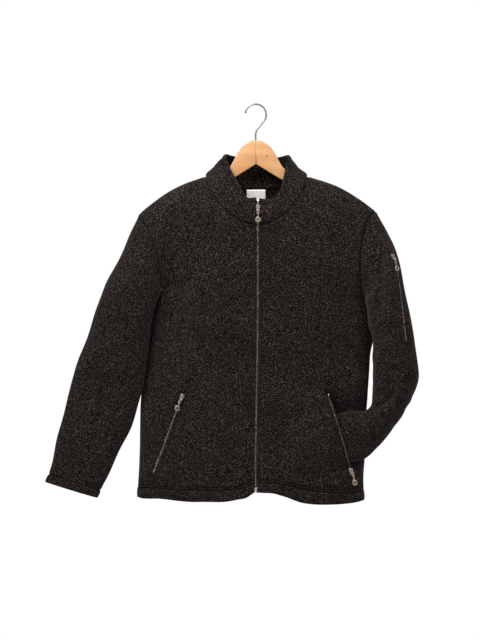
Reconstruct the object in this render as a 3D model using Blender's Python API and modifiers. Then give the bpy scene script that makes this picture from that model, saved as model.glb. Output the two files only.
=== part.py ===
"""Stand-collar jacket of boiled wool on a wooden hanger.

Metres, +Z up, the front of the jacket towards -Y. The origin is the inside top of the hanger's
hook, where a rail or a peg holds it. Right and left are the wearer's, so right is towards -X.
The left sleeve is bent and its cuff is tucked into the open side pocket.
"""
import math

import bmesh
import bpy
import numpy as np
from mathutils import Matrix, Vector

MM = 0.001

# Cloth and seams
CLOTH = 2.8 * MM
DOUBLED = 5.0 * MM
HEM_BAND = 23 * MM
SEAM_GAP = 0.3 * MM
ARMPIT_GAP = 0.8 * MM
TAPE = 0.8 * MM

# How far the hung cloth stands in front of the hanger's plane and behind it
# Columns: height z, front, back
BODY_DEPTH = [
    (-155, 50, 40),
    (-300, 52, 43),
    (-450, 50, 43),
    (-650, 46, 41),
    (-875, 44, 39),
]
SHOULDER_FALL = 115 * MM
SIDE_ROUNDNESS = 3.2
ARMHOLE_FALL = 85 * MM
ARMHOLE_FULLNESS = 0.8
ARMPIT_SOFTNESS = 0.9

# Grid of a half panel: columns from the centre edge to the side, rows from the shoulder to the hem
NECK_COLUMNS = 6
SHOULDER_COLUMNS = 8
NECK_SHARE = 0.43
ARMHOLE_ROWS = 10
POCKET_COLUMN = 8

# Neckline of one half, from the centre front to the shoulder. Columns: x from the middle, drop
FRONT_NECK = [(0, 108), (22, 104), (45, 92), (68, 75), (87, 54), (97, 40), (106, 18), (111.5, 0)]
BACK_NECK = [(0, 27), (45, 24), (80, 15), (111.5, 0)]
NECK_TOP = -157

# Zip down the front. Columns: height z, x
FRONT_ZIP_LINE = [(-200, 3.3), (-265, 3.2), (-511, 2.6), (-649, 0.4), (-781, -1.3), (-860, -1.3)]
ZIP_HALF = 3.2 * MM
ZIP_TAPE_REACH = 11 * MM
TAPE_SPLIT = 0.4 * MM
TAPE_GAP = 0.45 * MM
INNER_LIP_TAPE_GAP = 1.2 * MM
OUTER_LIP_TAPE_GAP = 2.4 * MM

# Outlines of the wearer's right half. Columns: x, z
RIGHT_ARMHOLE = [
    (-256.5, -237.6), (-251.7, -254.1), (-236.9, -277.2), (-222.6, -308.0),
    (-214.9, -334.4), (-209.4, -367.4), (-208.3, -404.8),
]
# Columns: x, z, y of the side seam
RIGHT_SIDE = [
    (-208.3, -404.8, 0), (-213, -415, 5), (-221, -431, 11), (-232.5, -482, 16),
    (-240, -528, 16), (-247, -596, 13), (-252.5, -651, 6), (-254, -737, 0), (-257, -814, 0),
    (-260, -862, 0),
]
RIGHT_HEM = [
    (-260, -862), (-252, -864.5), (-220, -865), (-185, -868), (-160, -871), (-110, -871.5),
    (-62, -870.5), (-44, -867), (-27, -864), (-12, -858), (-4, -851),
]

# Outlines of the wearer's left half, which the bent sleeve pulls a little lower
LEFT_ARMHOLE = [
    (263.1, -233.2), (248.2, -248.6), (239.4, -270.6), (232.1, -297.0),
    (227.3, -343.2), (227.9, -385.0), (232.0, -415.0), (241.6, -431.0),
]
LEFT_SIDE = [
    (241.6, -431, 0), (246, -443, 5), (251, -462, 11), (255.5, -490, 14), (255, -524, 12),
    (250.4, -545, 7), (247.5, -585, 2), (242.5, -650, 0), (237.5, -737, 0), (234, -800, 0),
    (236, -869, 0),
]
LEFT_HEM = [
    (3, -851), (14, -852), (28, -851.5), (46, -855.5), (70, -863), (96, -872.5), (125, -877),
    (160, -878), (200, -876), (220, -873.5), (236, -869),
]

# Side pockets, each a slanted zip. Columns: x, z
RIGHT_POCKET_LINE = [(-159.7, -633.6), (-192, -719), (-225.7, -807.4)]
LEFT_POCKET_LINE = [(158.5, -634.9), (173.4, -680.5), (201.7, -771.5), (208.6, -798.6)]
POCKET_HALF = 3.0 * MM
POCKET_TAPE_REACH = 8 * MM

# The left pocket gapes round the forearm that goes into it
GAPE_CENTRE = -0.717
GAPE_HALF = 0.0815
GAPE_FRONT = -62 * MM
GAPE_BACK = -14 * MM
GAPE_FADE = 125 * MM

# Largest folds. Depth is inwards when positive. Columns: x and z of both ends, width, depth
FRONT_FOLDS = [
    (-190, -318, -172, -505, 17, 9),
    (-150, -455, -60, -640, 42, 6),
    (-50, -330, -110, -450, 45, -4),
    (175, -300, 205, -470, 26, 5),
    (90, -655, 30, -800, 30, 6),
    (115, -700, 70, -850, 26, -6),
    (-215, -560, -130, -600, 30, -4),
]
BACK_FOLDS = [
    (-185, -300, -165, -500, 22, 8),
    (185, -310, 165, -520, 24, 8),
    (-95, -420, -120, -780, 45, 6),
    (80, -450, 110, -800, 45, 6),
    (0, -380, 10, -620, 50, -4),
]

# Sections of the right sleeve, which hangs straight, below the armhole
# Columns: x and z of the outer edge, width, slope of the section in degrees,
#          y of the outer edge, y of the inner edge, half depth, turn of the grid in degrees
RIGHT_SLEEVE = [
    (-275.4, -280.5, 143.9, 62.5, -3, -6, 41, 0),
    (-294.1, -321.2, 124.2, 48.1, -5, -12, 41, 0),
    (-312.8, -360.8, 115.5, 31.2, -6, -16, 40, 0),
    (-331.5, -396.0, 118.5, 18.9, -7, -18, 38, 0),
    (-350.2, -446.6, 127.2, 19.2, -7, -18, 35, 0),
    (-374.4, -512.6, 142.0, 19.4, -6, -17, 31, 0),
    (-395.3, -574.2, 153.5, 19.2, -4, -14, 28, 0),
    (-414.0, -644.6, 152.5, 18.2, -2, -9, 26, 0),
    (-430.5, -706.2, 143.3, 17.9, 0, -4, 24, 0),
    (-445.9, -770.0, 129.4, 17.8, 0, 0, 21, 0),
    (-457.7, -808.2, 122.4, 17.3, 0, 0, 19, 0),
    (-464.4, -829.4, 119.7, 17.1, 0, 0, 18, 0),
]

# Sections of the left sleeve, bent at the elbow, its forearm in front of the body
LEFT_SLEEVE = [
    (285.6, -275.0, 164.1, 74.8, -8, -10, 44, -8),
    (301.0, -310.2, 138.4, 66.1, -15, -19, 47, -12),
    (314.2, -354.2, 111.0, 52.9, -18, -22, 48, -12),
    (324.1, -398.2, 95.0, 37.8, -19, -23, 48, -8),
    (335.1, -459.8, 86.3, 15.1, -20, -24, 48, 0),
    (347.2, -517.0, 90.5, 5.6, -21, -24, 48, 8),
    (352.7, -565.4, 94.8, 1.3, -22, -24, 48, 8),
    (353.8, -605.0, 96.4, 0.0, -23, -25, 47, 4),
    (342.8, -642.4, 87.2, -4.3, -27, -29, 44, 0),
    (325.2, -677.6, 76.9, -16.6, -33, -35, 39, 0),
    (301.0, -712.8, 77.5, -34.6, -39, -39, 32, 0),
    (265.8, -750.2, 94.3, -55.9, -41, -41, 24, 0),
    (237.2, -774.4, 108.5, -67.3, -39, -39, 19, 0),
    (208.6, -784.3, 110.6, -72.6, -37, -37, 16, 0),
    (188.0, -790.0, 106.0, -70.7, -34, -34, 15, 0),
    (163.0, -801.0, 104.0, -69.1, -30, -30, 14, 0),
]

# Folds on the front of the sleeves, given like the body's
LEFT_SLEEVE_FOLDS = [
    (268, -312, 272, -455, 11, 12),
    (277, -548, 308, -552, 12, 6),
    (256, -648, 292, -640, 9, 7),
    (292, -600, 335, -640, 14, 5),
    (300, -668, 330, -640, 12, -3),
]
RIGHT_SLEEVE_FOLDS = [
    (-268, -430, -330, -470, 22, 4),
    (-290, -560, -350, -590, 26, 4),
    (-330, -660, -390, -650, 26, 4),
    (-395, -790, -410, -700, 20, 3),
]

# Sleeve pocket: it follows one line of the left sleeve's grid
SLEEVE_ZIP_COLUMN = 3
SLEEVE_ZIP_ROWS = (2, 6)
SLEEVE_TAPE_HALF = 4.5 * MM
SLEEVE_TAPE = 1.0 * MM
SLEEVE_TAPE_LIFT = 0.6 * MM

# Top edge of the stand collar, from the centre front to the centre back. Columns: x, y, z
COLLAR_TOP_RIGHT = [
    (0, -50, -209), (-21, -49, -207), (-31, -46, -190), (-48, -35, -157), (-60, -20, -134),
    (-69.7, 0, -107), (-62, 18, -108.5), (-45, 31, -112), (-22, 38, -115.5), (0, 40, -116.5),
]
COLLAR_TOP_LEFT = [
    (3.3, -50, -211), (26, -49, -209.5), (45, -46, -204.6), (54.6, -42, -190), (64, -32, -157),
    (68.5, -18, -134), (74.4, 0, -110), (66, 18, -110), (49, 31, -114), (24, 38, -116),
    (0, 40, -116.5),
]
COLLAR_ROWS = [0.0, 0.3, 0.65, 1.0]
COLLAR_BULGE = 5 * MM

# Neck label
LABEL_WIDTH = 42 * MM
LABEL_HEIGHT = 40 * MM
LABEL_THICKNESS = 0.6 * MM
LABEL_DROP = 4 * MM
LABEL_SLACK = 0.45 * MM

# Wooden hanger in two halves with a wire hook
ARM_THICKNESS = 13 * MM
ARM_EDGE = 5 * MM
ARM_DEPTH_AT_TIP = 30
ARM_CLEARANCE = 4.6
# Places x where the top edge runs just under the shoulder seam, the last at the rounded tip
ARM_SEATS = (140, 170, 201)
# Columns: x from the middle, z of the top edge
ARM_TOP = [
    (0.3, -77), (12, -79), (24, -87), (34, -94), (44, -111), (57, -135), (75, -149), (95, -162),
    (112, -170),
]
# Columns: x from the middle, z of the lower edge
ARM_BOTTOM = [(0.3, -130), (45, -158), (100, -188)]
WIRE = 1.85 * MM
HOOK_RADIUS = 23 * MM
HOOK_CENTRE = (-1.0 * MM, -21.15 * MM)
HOOK_TURNS = (168, -48)
# The bend from the loop back to the stem. Columns: x, z
HOOK_BEND = [(9.0, -45.5), (4.0, -51.5), (0.6, -57), (-1.0, -63), (-1.0, -76), (-1.0, -98)]
HOOK_FOOT = HOOK_BEND[-1][1] * MM
HOOK_BORE = 2.2 * MM
HOOK_BORE_FOOT = 0.3 * MM
HOOK_BORE_LENGTH = 60 * MM

# Slider and pull tab, about a pin that lies across the zip
SLIDER_SIZE = (9 * MM, 14 * MM, 2.6 * MM)
SLIDER_EDGE = 0.8 * MM
EAR_SIZE = (1.1 * MM, 3.4 * MM)
EAR_PLACE = 2.6 * MM
EAR_RIM = 0.4 * MM
PIN_RADIUS = 0.7 * MM
PIN_HEIGHT = 4.8 * MM
PIN_DOWN = 5.0 * MM
KNUCKLE_RADIUS = 1.75 * MM
KNUCKLE_BORE = 1.0 * MM
KNUCKLE_LENGTH = 3.4 * MM
EAR_ROOM = 2.3 * MM
TAB_THICKNESS = 1.6 * MM
TAB_LENGTH = 29 * MM
TAB_NECK_WIDTH = 5.0 * MM
TAB_RING_RADIUS = 6.2 * MM
TAB_HOLE_RADIUS = 2.3 * MM
SLIDER_LIFT = {"front": 1.0, "pocket_right": 2.3, "pocket_left": 2.6, "sleeve": 2.6}
# Degrees by which the cloth below leans the slider and its pull outwards
SLIDER_LEAN = {"front": 0, "pocket_right": 0, "pocket_left": 0, "sleeve": 8}
FRONT_SLIDER_PLACE = 0.67
RIGHT_SLIDER_PLACE = 0.3
LEFT_SLIDER_PLACE = 0.2
SLEEVE_SLIDER_PLACE = 0.25

# Colours, roughness, metallic
FINISHES = {
    "wool": ((0.030, 0.025, 0.022), 0.95, 0.0),
    "zip_tape": ((0.015, 0.013, 0.012), 0.9, 0.0),
    "label_cloth": ((0.80, 0.79, 0.76), 0.85, 0.0),
    "pine": ((0.72, 0.43, 0.20), 0.5, 0.0),
    "steel": ((0.55, 0.55, 0.56), 0.3, 1.0),
    "copper": ((0.50, 0.33, 0.24), 0.35, 1.0),
}


# Curves and tables

def hermite(knots, values, at):
    """Smooth curve through values at rising knots, with slopes taken from the neighbours."""
    knots = np.asarray(knots, float)
    values = np.asarray(values, float)
    at = np.clip(np.asarray(at, float), knots[0], knots[-1])
    slopes = np.gradient(values, knots, axis=0)
    cell = np.clip(np.searchsorted(knots, at, side="right") - 1, 0, len(knots) - 2)
    step = knots[cell + 1] - knots[cell]
    t = (at - knots[cell]) / step
    if values.ndim > 1:
        t = t[..., None]
        step = step[..., None]
    return ((2 * t**3 - 3 * t**2 + 1) * values[cell] + (t**3 - 2 * t**2 + t) * step * slopes[cell]
            + (3 * t**2 - 2 * t**3) * values[cell + 1] + (t**3 - t**2) * step * slopes[cell + 1])


def profile(table, column, at):
    """One column of a table in millimetres, read at places of its first column."""
    rows = np.array(sorted(table), float) * MM
    return hermite(rows[:, 0], rows[:, column], at)


def along(table, fractions):
    """Points of a table in millimetres at fractions of the length of the curve through them."""
    points = np.asarray(table, float) * MM
    lengths = np.concatenate([[0], np.cumsum(np.linalg.norm(np.diff(points, axis=0), axis=1))])
    return hermite(lengths / lengths[-1], points, fractions)


def unit(vectors):
    return vectors / np.maximum(np.linalg.norm(vectors, axis=-1, keepdims=True), 1e-12)


def grid_normals(grid, outward, wrap=False):
    """Surface directions of a grid of points, turned to the side that outward points to."""
    down = np.gradient(grid, axis=0)
    if wrap:
        across = np.roll(grid, -1, axis=1) - np.roll(grid, 1, axis=1)
    else:
        across = np.gradient(grid, axis=1)
    normals = unit(np.cross(down, across))
    flip = np.sum(normals * outward, axis=-1, keepdims=True) < 0
    return np.where(flip, -normals, normals)


def fold_depth(x, z, folds):
    """How far the folds push the cloth in at each place of the front view."""
    depth = np.zeros_like(x)
    for x0, z0, x1, z1, width, amount in np.asarray(folds, float) * MM:
        start = np.array([x0, z0])
        run = np.array([x1, z1]) - start
        length = np.hypot(*run)
        run = run / length
        across = (x - start[0]) * -run[1] + (z - start[1]) * run[0]
        place = ((x - start[0]) * run[0] + (z - start[1]) * run[1]) / length
        ends = np.clip(np.minimum(place, 1 - place) * 3 + 0.5, 0, 1)
        ends = ends**2 * (3 - 2 * ends)
        depth += amount * ends * np.exp(-(across / width)**2)
    return depth


# The jacket's own shape

def side_tables(side):
    if side == "right":
        return RIGHT_ARMHOLE, RIGHT_SIDE, RIGHT_HEM, RIGHT_POCKET_LINE
    return LEFT_ARMHOLE, LEFT_SIDE, LEFT_HEM, LEFT_POCKET_LINE


def side_sign(side):
    return -1 if side == "right" else 1


def shoulder_line(side, x):
    """Height of the shoulder seam over x, level between the two sides of the neck."""
    tip_x, tip_z = np.asarray(side_tables(side)[0][0]) * MM
    neck_x = FRONT_NECK[-1][0] * MM
    share = np.clip((np.abs(x) - neck_x) / (abs(tip_x) - neck_x), 0, 1.5)
    return NECK_TOP * MM + share * (tip_z - NECK_TOP * MM)


def row_places(side):
    """Places of the rows on the outer edge: down the armhole, then heights down the side."""
    armhole = 0.5 - 0.5 * np.cos(np.linspace(0, math.pi, ARMHOLE_ROWS + 1))
    _, side_table, _, pocket = side_tables(side)
    armpit = side_table[0][1]
    hem = side_table[-1][1]
    stops = [armpit, pocket[0][1], pocket[-1][1], hem + HEM_BAND / MM, hem]
    counts = (7, 6, 2, 2)
    heights = [np.linspace(a, b, n + 1)[1:] for a, b, n in zip(stops, stops[1:], counts)]
    return armhole, np.concatenate(heights) * MM


def pocket_rows():
    """First and last row of the pocket's opening."""
    first = ARMHOLE_ROWS + 7
    return first, first + 6


def outer_edge(side):
    """Armhole and side seam: points x, z and the seam's y, one for each row."""
    armhole_table, side_table, _, _ = side_tables(side)
    armhole, heights = row_places(side)
    upper = along(armhole_table, armhole)
    rows = sorted((z, x, y) for x, z, y in side_table)
    x = profile(rows, 1, heights)
    y = profile(rows, 2, heights)
    points = np.vstack([upper, np.column_stack([x, heights])])
    seam_y = np.concatenate([np.zeros(len(upper)), y])
    return points, seam_y


def column_shares():
    neck = NECK_SHARE * np.linspace(0, 1, NECK_COLUMNS + 1)
    shoulder = np.sin(np.linspace(0, math.pi / 2, SHOULDER_COLUMNS + 1)[1:])
    return np.concatenate([neck, NECK_SHARE + (1 - NECK_SHARE) * shoulder])


def neckline(side, face):
    """Points x, z of the neck seam of one half, from the centre to the shoulder."""
    table = np.array(FRONT_NECK if face == "front" else BACK_NECK, float)
    points = along(np.column_stack([table[:, 0], -table[:, 1]]),
                   np.linspace(0, 1, NECK_COLUMNS + 1))
    points[:, 0] *= side_sign(side)
    points[:, 1] += NECK_TOP * MM
    if face == "front":
        edge = centre_edge(side, points[0, 1])
        reach = FRONT_NECK[-1][0] * MM
        points[:, 0] += edge * (1 - np.abs(points[:, 0]) / reach)
    return points


def centre_edge(side, z):
    """x of the front panel's edge beside the zip."""
    return profile(FRONT_ZIP_LINE, 1, z) + side_sign(side) * ZIP_HALF


def flat_panel(side, face):
    """Grid of x, z of a half panel, blended between its four edges."""
    armhole_table, _, hem_table, pocket = side_tables(side)
    shares = column_shares()
    edge, _ = outer_edge(side)
    neck = neckline(side, face)
    tip = np.asarray(armhole_table[0]) * MM
    part = (shares[NECK_COLUMNS + 1:] - NECK_SHARE) / (1 - NECK_SHARE)
    shoulder = neck[-1] + part[:, None] * (tip - neck[-1])
    top = np.vstack([neck, shoulder])

    drop = (edge[:, 1] - edge[0, 1]) / (edge[-1, 1] - edge[0, 1])
    hem_centre = profile(hem_table, 1, 0.0)
    centre_z = neck[0, 1] + drop * (hem_centre - neck[0, 1])
    centre_x = centre_edge(side, centre_z) if face == "front" else np.zeros_like(centre_z)
    centre = np.column_stack([centre_x, centre_z])
    hem_x = centre[-1, 0] + shares * (edge[-1, 0] - centre[-1, 0])
    hem = np.column_stack([hem_x, profile(hem_table, 1, hem_x)])
    hem[0] = centre[-1]

    u = shares[None, :, None]
    v = drop[:, None, None]
    grid = (1 - v) * top[None] + v * hem[None] + (1 - u) * centre[:, None] + u * edge[:, None]
    corners = ((1 - u) * (1 - v) * top[0] + u * (1 - v) * top[-1]
               + (1 - u) * v * hem[0] + u * v * hem[-1])
    grid = grid - corners
    if face == "front":
        steer_to_pocket(grid, side, pocket, shares)
    return grid


def steer_to_pocket(grid, side, pocket, shares):
    """Slides two columns of the grid on to the two lips of the slanted pocket."""
    first, last = pocket_rows()
    sign = side_sign(side)
    lips = along(pocket, np.linspace(0, 1, last - first + 1))
    rows = np.arange(len(grid))
    fade = np.interp(rows, [0, first, last, len(grid) - 1], [0, 1, 1, 0])[:, None]
    for column, offset in ((POCKET_COLUMN, -sign * POCKET_HALF),
                           (POCKET_COLUMN + 1, sign * POCKET_HALF)):
        target = lips + np.array([offset, 0])
        moves = target - grid[first:last + 1, column]
        nearest = np.clip(rows, first, last) - first
        move = moves[nearest] * fade
        if column == POCKET_COLUMN:
            reach = np.where(shares <= shares[column], shares / shares[column], 0)
        else:
            reach = np.where(shares >= shares[column], (1 - shares) / (1 - shares[column]), 0)
        grid += reach[None, :, None] * move[:, None]


def panel(side, face):
    """Outer surface of a half panel as a grid of points."""
    shares = column_shares()
    edge, seam_y = outer_edge(side)
    flat = flat_panel(side, face)
    x = flat[..., 0]
    z = flat[..., 1]
    armpit = edge[ARMHOLE_ROWS, 1]
    rise = np.clip((edge[:, 1] - armpit) / ARMHOLE_FALL, 0, 1)
    edge_fullness = ARMHOLE_FULLNESS * np.sin(math.pi / 2 * rise)**ARMPIT_SOFTNESS
    roundness = np.sqrt(np.clip(1 - shares**SIDE_ROUNDNESS, 0, 1))
    fullness = edge_fullness[:, None] + (1 - edge_fullness[:, None]) * roundness[None]
    fall = np.clip((shoulder_line(side, x) - z) / SHOULDER_FALL, 0, 1)
    fall = np.sqrt(1 - (1 - fall)**2)
    column = 1 if face == "front" else 2
    front_sign = -1 if face == "front" else 1
    depth = profile(BODY_DEPTH, column, z) * fall * fullness
    folds = fold_depth(x, z, FRONT_FOLDS if face == "front" else BACK_FOLDS)
    calm = np.clip((1 - shares) / 0.15, 0, 1)[None] * np.clip(fall, 0, 1)
    depth = depth - folds * calm
    y = front_sign * depth + seam_y[:, None] * shares[None]**6
    if face == "front" and side == "left":
        y = gaping_pocket(x, z, y)
    return np.stack([x, y, z], axis=-1)


def gaping_pocket(x, z, y):
    """Lifts the pocket's inner lip over the forearm and pushes the outer lip behind it."""
    reach = 1 - ((z - GAPE_CENTRE) / GAPE_HALF)**2
    gape = np.sqrt(np.clip(reach, 0, 1))
    lip_x = x[:, POCKET_COLUMN][:, None]
    edge_x = x[:, -1][:, None]
    inner = np.clip(1 - (lip_x - x) / GAPE_FADE, 0, 1)
    inner = inner**2 * (3 - 2 * inner)
    outer = np.clip((edge_x - x) / (edge_x - lip_x), 0, 1)
    is_inner = np.arange(x.shape[1])[None] <= POCKET_COLUMN
    target = np.where(is_inner, GAPE_FRONT, GAPE_BACK)
    share = np.where(is_inner, inner, outer) * gape
    lip_y = np.where(is_inner, y[:, POCKET_COLUMN][:, None], y[:, POCKET_COLUMN + 1][:, None])
    return y + share * (target - lip_y)


def sleeve_sections(side, front, back):
    """Rings of a sleeve, from the armhole's own points to the cuff, front first from the top."""
    table, folds = ((RIGHT_SLEEVE, RIGHT_SLEEVE_FOLDS) if side == "right"
                    else (LEFT_SLEEVE, LEFT_SLEEVE_FOLDS))
    sign = side_sign(side)
    loop = np.vstack([front[:ARMHOLE_ROWS + 1, -1], back[1:ARMHOLE_ROWS, -1][::-1]])
    rings = [loop]
    angles = np.linspace(0, 2 * math.pi, 2 * ARMHOLE_ROWS + 1)[:-1]
    for x, z, width, slope, outer_y, inner_y, depth, turn in table:
        lean = math.radians(slope)
        outer = np.array([x, outer_y, z]) * MM
        inner = outer + np.array([-sign * math.cos(lean) * width, inner_y - outer_y,
                                  -math.sin(lean) * width]) * MM
        half = (outer - inner) / 2
        forward = np.array([0.0, -1.0, 0.0])
        forward = unit(forward - half * np.dot(forward, half) / np.dot(half, half))
        turned = angles + math.radians(turn) * np.abs(np.sin(angles))
        ring = ((outer + inner) / 2 + np.cos(turned)[:, None] * half
                + np.sin(turned)[:, None] * forward * depth * MM)
        rings.append(ring)
    grid = np.array(rings)
    middle = grid.mean(axis=1, keepdims=True)
    normals = grid_normals(grid, grid - middle, wrap=True)
    is_front = np.clip(-normals[..., 1], 0, 1)
    grid = grid - normals * (fold_depth(grid[..., 0], grid[..., 2], folds) * is_front)[..., None]
    grid[0] = loop
    return grid


# Walls

def pull_back(points, normals, edge, amount=SEAM_GAP / 2, neighbour=None):
    """Moves one edge of a grid back from its seam, by half of the gap unless told otherwise."""
    index = {"top": (0, slice(None)), "bottom": (-1, slice(None)),
             "left": (slice(None), 0), "right": (slice(None), -1)}[edge]
    inside = {"top": (1, slice(None)), "bottom": (-2, slice(None)),
              "left": (slice(None), 1), "right": (slice(None), -2)}[edge]
    rim = points[index]
    tangent = np.gradient(rim, axis=0)
    away = unit(np.cross(normals[index], tangent))
    outward = rim - points[inside] if neighbour is None else neighbour
    outward = np.sum(away * outward, axis=-1, keepdims=True)
    away = np.where(outward < 0, -away, away)
    points[index] = rim - away * np.reshape(amount, (-1, 1))


def shorter_split(points, quad):
    """Two triangles of a quad, parted along its shorter diagonal, so that rims match."""
    a, b, c, d = quad
    if math.dist(points[a], points[c]) <= math.dist(points[b], points[d]):
        return [(a, b, c), (a, c, d)]
    return [(a, b, d), (b, c, d)]


def wall(name, points, normals, thickness, finish, wrap=False, holes=()):
    """A closed cloth wall: its outer face through points, its inner face a thickness inside."""
    rows, columns = points.shape[:2]
    thickness = np.broadcast_to(thickness, (rows, columns))
    inner = points - normals * thickness[..., None]
    mesh_points = [tuple(p) for p in points.reshape(-1, 3)] + [tuple(p) for p in inner.reshape(-1, 3)]
    count = rows * columns
    cells = []
    for i in range(rows - 1):
        for j in range(columns if wrap else columns - 1):
            if (i, j) in holes:
                continue
            k = (j + 1) % columns
            cells.append((i * columns + j, i * columns + k,
                          (i + 1) * columns + k, (i + 1) * columns + j))
    a, b, _, d = cells[0]
    corner = np.array([mesh_points[a], mesh_points[b], mesh_points[d]])
    facing = np.dot(np.cross(corner[1] - corner[0], corner[2] - corner[0]),
                    normals.reshape(-1, 3)[a])
    if facing < 0:
        cells = [cell[::-1] for cell in cells]
    sides = {(cell[n], cell[(n + 1) % 4]) for cell in cells for n in range(4)}
    faces = list(cells) + [tuple(v + count for v in cell[::-1]) for cell in cells]
    for start, end in sorted(sides):
        if (end, start) not in sides:
            faces += shorter_split(mesh_points, (end, start, start + count, end + count))
    used = sorted({v for face in faces for v in face})
    place = {v: n for n, v in enumerate(used)}
    mesh = bpy.data.meshes.new(name)
    mesh.from_pydata([mesh_points[v] for v in used], [],
                     [tuple(place[v] for v in face) for face in faces])
    mesh.validate()
    return add_object(name, mesh, finish)


# Objects, materials and collections

def clear_scene():
    for item in list(bpy.data.objects):
        bpy.data.objects.remove(item, do_unlink=True)


def make_collection(name):
    collection = bpy.data.collections.get(name) or bpy.data.collections.new(name)
    if collection.name not in bpy.context.scene.collection.children:
        bpy.context.scene.collection.children.link(collection)
    return collection


def make_material(name, finish):
    colour, roughness, metallic = FINISHES[finish]
    material = bpy.data.materials.new(name)
    material.use_nodes = True
    shader = material.node_tree.nodes["Principled BSDF"]
    shader.inputs["Base Color"].default_value = (*colour, 1)
    shader.inputs["Roughness"].default_value = roughness
    shader.inputs["Metallic"].default_value = metallic
    material.diffuse_color = (*colour, 1)
    return material


def add_object(name, data, finish):
    item = bpy.data.objects.new(name, data)
    make_collection("jacket").objects.link(item)
    data.materials.clear()
    data.materials.append(make_material(name + "_finish", finish))
    if isinstance(data, bpy.types.Mesh):
        data.shade_smooth()
        data.set_sharp_from_angle(angle=math.radians(45))
    return item


# Garment pieces

def shoulder_normal(side):
    tip_x, tip_z = side_tables(side)[0][0]
    run = unit(np.array([abs(tip_x) - FRONT_NECK[-1][0], tip_z - NECK_TOP]))
    return np.array([-side_sign(side) * run[1], 0, run[0]])


def armhole_normals(side, loop):
    """Directions out of the armhole's loop, shared by the panels and the sleeve."""
    top = loop[0]
    chord = unit(top - loop[ARMHOLE_ROWS])
    half = np.linalg.norm(top - loop[ARMHOLE_ROWS]) / 2
    angles = np.linspace(0, 2 * math.pi, 2 * ARMHOLE_ROWS + 1)[:-1]
    depth = np.abs(loop[:, 1]).max()
    normals = unit(np.cos(angles)[:, None] / half * chord
                   + np.sin(angles)[:, None] / depth * np.array([0, -1.0, 0]))
    outward = np.array([side_sign(side), 0, 0])
    normals[ARMHOLE_ROWS] = unit(outward - chord)
    return normals


def side_normals(side, edge_points):
    tangent = np.gradient(edge_points, axis=0)
    tangent[:, 1] = 0
    normals = unit(np.cross(tangent, np.array([0, 1.0, 0])))
    return normals * np.sign(normals[:, :1]) * side_sign(side)


def collar_grid(necks):
    """Outer surface of the collar: rows up from the neck seam, columns from right to left front."""
    base = np.vstack([necks["right", "front"], necks["right", "back"][::-1][1:],
                      necks["left", "back"][1:], necks["left", "front"][::-1][1:]])
    halves = []
    for table, zip_side in ((COLLAR_TOP_RIGHT, -1), (COLLAR_TOP_LEFT, 1)):
        fractions = np.linspace(0, 1, 2 * NECK_COLUMNS + 1)
        points = along(table, fractions)
        start = profile(FRONT_ZIP_LINE, 1, points[0, 2]) + zip_side * ZIP_HALF
        fade = np.clip(1 - fractions * 4, 0, 1)
        points[:, 0] += (start - points[0, 0]) * fade
        halves.append(points)
    top = np.vstack([halves[0], halves[1][::-1][1:]])
    outward = (base + top) / 2
    outward[:, 2] = 0
    outward = unit(outward)
    grid = []
    for share in COLLAR_ROWS:
        bulge = COLLAR_BULGE * math.sin(math.pi * share)
        grid.append(base + share * (top - base) + outward * bulge)
    grid = np.array(grid)
    return grid, grid_normals(grid, np.broadcast_to(outward, grid.shape))


def garment():
    """Works out every cloth surface first, then shares the directions along each seam."""
    points = {}
    normals = {}
    for side in ("right", "left"):
        for face in ("front", "back"):
            grid = panel(side, face)
            points[side, face] = grid
            outward = np.array([0, -1.0 if face == "front" else 1.0, 0])
            normals[side, face] = grid_normals(grid, outward)
            if face == "front":
                part_at_pocket(grid, normals[side, face], outward)
    sleeves = {}
    for side in ("right", "left"):
        front = points[side, "front"]
        back = points[side, "back"]
        grid = sleeve_sections(side, front, back)
        sleeve_normals = grid_normals(grid, grid - grid.mean(axis=1, keepdims=True), wrap=True)
        rim = armhole_normals(side, grid[0])
        sleeve_normals[0] = rim
        sleeves[side] = (grid, sleeve_normals)
        seam = side_normals(side, front[ARMHOLE_ROWS:, -1])
        for face in ("front", "back"):
            own = normals[side, face]
            own[0, NECK_COLUMNS:] = shoulder_normal(side)
            own[ARMHOLE_ROWS:, -1] = seam
        normals[side, "front"][:ARMHOLE_ROWS + 1, -1] = rim[:ARMHOLE_ROWS + 1]
        back_rim = np.vstack([rim[:1], rim[ARMHOLE_ROWS:][::-1]])
        normals[side, "back"][:ARMHOLE_ROWS + 1, -1] = back_rim
    necks = {key: grid[0, :NECK_COLUMNS + 1] for key, grid in points.items()}
    collar, collar_normals = collar_grid(necks)
    share_neck_normals(normals, collar_normals)
    return points, normals, sleeves, collar, collar_normals


def part_at_pocket(grid, normals, outward):
    """Gives each lip of the pocket the direction of its own side of the panel."""
    first, last = pocket_rows()
    rows = slice(first, last + 1)
    lip = POCKET_COLUMN + 1
    normals[rows, :lip] = grid_normals(grid[:, :lip], outward)[rows]
    normals[rows, lip:] = grid_normals(grid[:, lip:], outward)[rows]


def share_neck_normals(normals, collar_normals):
    """Gives the collar and the panels one direction at each point of the neck seam."""
    n = NECK_COLUMNS
    spans = {("right", "front"): range(0, n + 1), ("right", "back"): range(2 * n, n - 1, -1),
             ("left", "back"): range(2 * n, 3 * n + 1),
             ("left", "front"): range(4 * n, 3 * n - 1, -1)}
    total = collar_normals[0].copy()
    for key, span in spans.items():
        for column, place in enumerate(span):
            total[place] = total[place] + normals[key][0, column]
    collar_normals[0] = unit(total)
    for key, span in spans.items():
        for column, place in enumerate(span):
            normals[key][0, column] = collar_normals[0, place]


def band_thickness(rows, band_rows, base=CLOTH):
    """Cloth thickness for each row, doubled in the last rows where it is turned up."""
    thickness = np.full(rows, base)
    thickness[-band_rows:] = DOUBLED
    return thickness[:, None]


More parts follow.
